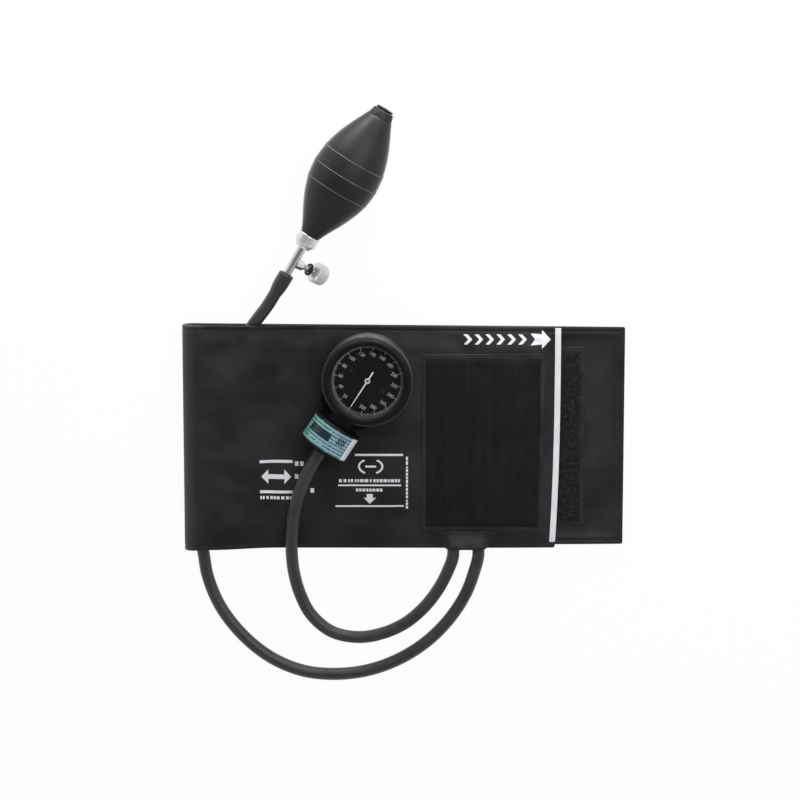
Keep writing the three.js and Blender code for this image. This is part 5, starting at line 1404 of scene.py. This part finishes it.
class SPHYG_OT_valve(bpy.types.Operator):
    """Turn the plated valve, its collar, and the knurled release screw"""

    bl_idname = "sphyg.valve"
    bl_label = "Release valve"

    def execute(self, context):
        turned(
            "collar_plated", BULB, "brass_satin_chromed", 96, ("cuff", "chrome", "valve_collar"),
            [(2.85, -0.3, 0), (7.0, -0.3, 0.3), (7.2, -0.8, 0.2), (7.0, -6.6, 0.6), (5.2, -8.2, 0.6),
             (4.7, -9.6, 0.3), (2.85, -9.6, 0)], warp=collar_flats,
        )
        turned(
            "valve_plated", BULB, "brass_chrome_plated", 64, ("cuff", "chrome", "valve_body"),
            [(0.9, 6, 0), (2.7, 6, 0.2), (2.8, -9.7, 0), (2.8, -9.9, 0), (2.8, -28.6, 0.3),
             (2.45, -28.9, 0), (2.0, -31, 0), (2.45, -31.4, 0), (2.0, -34.4, 0), (2.45, -34.8, 0),
             (2.0, -38, 0), (0.9, -38, 0)],
        )
        turned(
            "valve_boss", SCREW, "brass_chrome_plated", 48, ("cuff", "chrome"),
            [(0.9, 1.0, 0), (3.4, 1.0, 0), (3.4, 6.4, 0.4), (2.9, 7.2, 0.3), (0.9, 7.2, 0)],
        )
        turned(
            "sleeve_rubber", BULB, "rubber_extruded", 64, ("cuff", "hose_rubber", "bulb_hose_sleeve"),
            [(2.9, -29.2, 0), (4.75, -29.2, 0.3), (4.95, -30, 0.4), (4.95, -38, 3),
             (3.96, -44.2, 0.1), (2.9, -44.2, 0)],
        )
        turned(
            "needle_turned", SCREW, "steel_turned", 48, ("release_screw", "steel", "release_needle"),
            [(0, 2.4, 0), (1.0, 4.0, 0), (1.0, 7.3, 0), (2, 7.5, 0.2), (2, 18.8, 0), (0, 18.8, 0)],
        )
        turns = np.linspace(0, 2 * math.pi, 17)[:-1]
        section = [(3.2 + 0.9 * math.cos(a), 12.8 + 0.9 * math.sin(a)) for a in turns]
        seal = lathe("seal_rubber", section, SCREW, ["rubber_moulded"], 48)
        dress(seal, "release_seal", "black_rubber", "release_ring")
        turned(
            "knob_knurled", SCREW, "brass_satin_chromed", 240,
            ("release_screw", "chrome", "release_knob"),
            [(0, 15.9, 0), (4.2, 15.9, 0.3), (4.6, 16.2, 0.3), (5.6, 16.4, 0.5), (6.75, 17.5, 0.6),
             (6.75, 24.0, 0.7), (5.6, 25.4, 0.6), (2.2, 25.4, 0.2), (1.9, 25.0, 0.2),
             (1.5, 24.6, 0.2), (0, 24.6, 0)], 6, warp=knurl, sharp=30,
        )
        return {"FINISHED"}


# The finish of each slot whose solids stay visible
SOLID_FINISHES = {
    "steel": "steel_turned", "brass": "brass_stamped", "chrome": "brass_chrome_plated",
    "black_plastic": "abs_moulded", "white_paint": "vinyl_ink_printed",
    "dial_paint": "enamel_matt_sprayed", "black_rubber": "rubber_moulded",
}


class SPHYG_OT_inner_works(bpy.types.Operator):
    """Give the solids that stay visible their real metals, plastics and rubber"""

    bl_idname = "sphyg.inner_works"
    bl_label = "Movement and small parts"

    def execute(self, context):
        stood_for = {n for o in bpy.data.objects for n in o.get("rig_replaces", [])}
        for entry in frame["record"]["subparts"]:
            node, name = entry["node"], entry["material_slot"]
            if node in stood_for:
                continue
            if name not in SOLID_FINISHES:
                raise RuntimeError(f"{node} has no finish for its slot {name}")
            solid = frame["nodes"][node]
            on_dial = node.startswith("dial_screw")
            solid.data.materials.clear()
            solid.data.materials.append(finish("steel_blackened" if on_dial else SOLID_FINISHES[name]))
        return {"FINISHED"}


# Studio


class SPHYG_OT_stage(bpy.types.Operator):
    """Set the white floor, the white surroundings and the three soft lamps"""

    bl_idname = "sphyg.stage"
    bl_label = "Studio"

    def execute(self, context):
        reach, drop = 6.0, -0.0004
        corners = [(x * reach, y * reach, drop) for x, y in ((-1, -1), (1, -1), (1, 1), (-1, 1))]
        floor = bpy.data.meshes.new("floor")
        floor.from_pydata(corners, [], [(0, 1, 2, 3)])
        floor.materials.append(finish("paper_white_backdrop"))
        linked("floor", floor)
        self.world(context)
        self.lamp("window", (0.32, 0.38, 0.85), (0.8, 0.6), 5.1)
        self.lamp("strip", (0.02, 1.0, 0.14), (1.0, 0.22), 16.0)
        self.lamp("fill", (-0.7, -0.9, 1.6), (1.2, 1.2), 2.5)
        context.scene.view_settings.view_transform = "Standard"
        return {"FINISHED"}

    def world(self, context):
        """Air that is white to the camera and dimmer as a light."""
        world = context.scene.world = bpy.data.worlds.new("studio_air")
        world.use_nodes = True
        tree = world.node_tree
        tree.nodes.clear()
        path = add(tree, "LightPath")
        strength = add(tree, "MapRange", {"Value": seen(tree, path), "To Min": 0.31, "To Max": 1.0})
        # Reflections find the white round the object, and a dim ceiling over it.
        way = add(tree, "TexCoord").outputs["Generated"]
        ceiling = add(
            tree, "MapRange",
            {"Value": add(tree, "SeparateXYZ", {0: way}).outputs["Z"], "From Min": 0.1,
             "From Max": 0.9, "To Min": 1.0, "To Max": 0.22},
            interpolation_type="SMOOTHSTEP",
        )
        glossy = add(
            tree, "MapRange",
            {"Value": path.outputs["Is Glossy Ray"], "To Min": 1.0, "To Max": ceiling},
        )
        air = add(tree, "Math", {0: strength, 1: glossy}, operation="MULTIPLY")
        glow = add(tree, "Background", {"Color": (1, 1, 1, 1), "Strength": air})
        add(tree, "OutputWorld", {"Surface": glow})

    def lamp(self, name, place, box, power):
        """A soft lamp: its place and size in metres, and its power in watts."""
        light = bpy.data.lights.new(name, "AREA")
        light.shape, light.size, light.size_y = "RECTANGLE", *box
        light.energy = power
        lamp = linked(name, light)
        lamp.location = place
        aim = Vector((0, 0.02, 0)) - Vector(place)
        lamp.rotation_euler = aim.to_track_quat("-Z", "Y").to_euler()


STEPS = (
    SPHYG_OT_camera, SPHYG_OT_hoses, SPHYG_OT_cuff_front, SPHYG_OT_cuff_back,
    SPHYG_OT_loop_patch, SPHYG_OT_outlet, SPHYG_OT_prints, SPHYG_OT_gauge_case,
    SPHYG_OT_gauge_dial, SPHYG_OT_neck_cap, SPHYG_OT_bulb, SPHYG_OT_valve,
    SPHYG_OT_inner_works, SPHYG_OT_stage,
)


class SPHYG_PT_panel(bpy.types.Panel):
    """The steps that build the sphygmomanometer, and what a user may change"""

    bl_label = "Sphygmomanometer"
    bl_idname = "SPHYG_PT_panel"
    bl_space_type = "VIEW_3D"
    bl_region_type = "UI"
    bl_category = "Sphygmomanometer"

    def draw(self, context):
        for group in (context.scene.sphyg_sizes, context.scene.sphyg_finishes):
            box = self.layout.box()
            for key in group.__annotations__:
                box.prop(group, key)
        for step in STEPS:
            self.layout.operator(step.bl_idname)


CLASSES = (SPHYG_finishes, SPHYG_sizes, *STEPS, SPHYG_PT_panel)


def register():
    for one in CLASSES:
        bpy.utils.register_class(one)
    bpy.types.Scene.sphyg_finishes = PointerProperty(type=SPHYG_finishes)
    bpy.types.Scene.sphyg_sizes = PointerProperty(type=SPHYG_sizes)


def unregister():
    del bpy.types.Scene.sphyg_sizes
    del bpy.types.Scene.sphyg_finishes
    for one in reversed(CLASSES):
        bpy.utils.unregister_class(one)


def main():
    register()
    for step in STEPS:
        group, name = step.bl_idname.split(".")
        getattr(getattr(bpy.ops, group), name)()


if __name__ == "__main__":
    main()
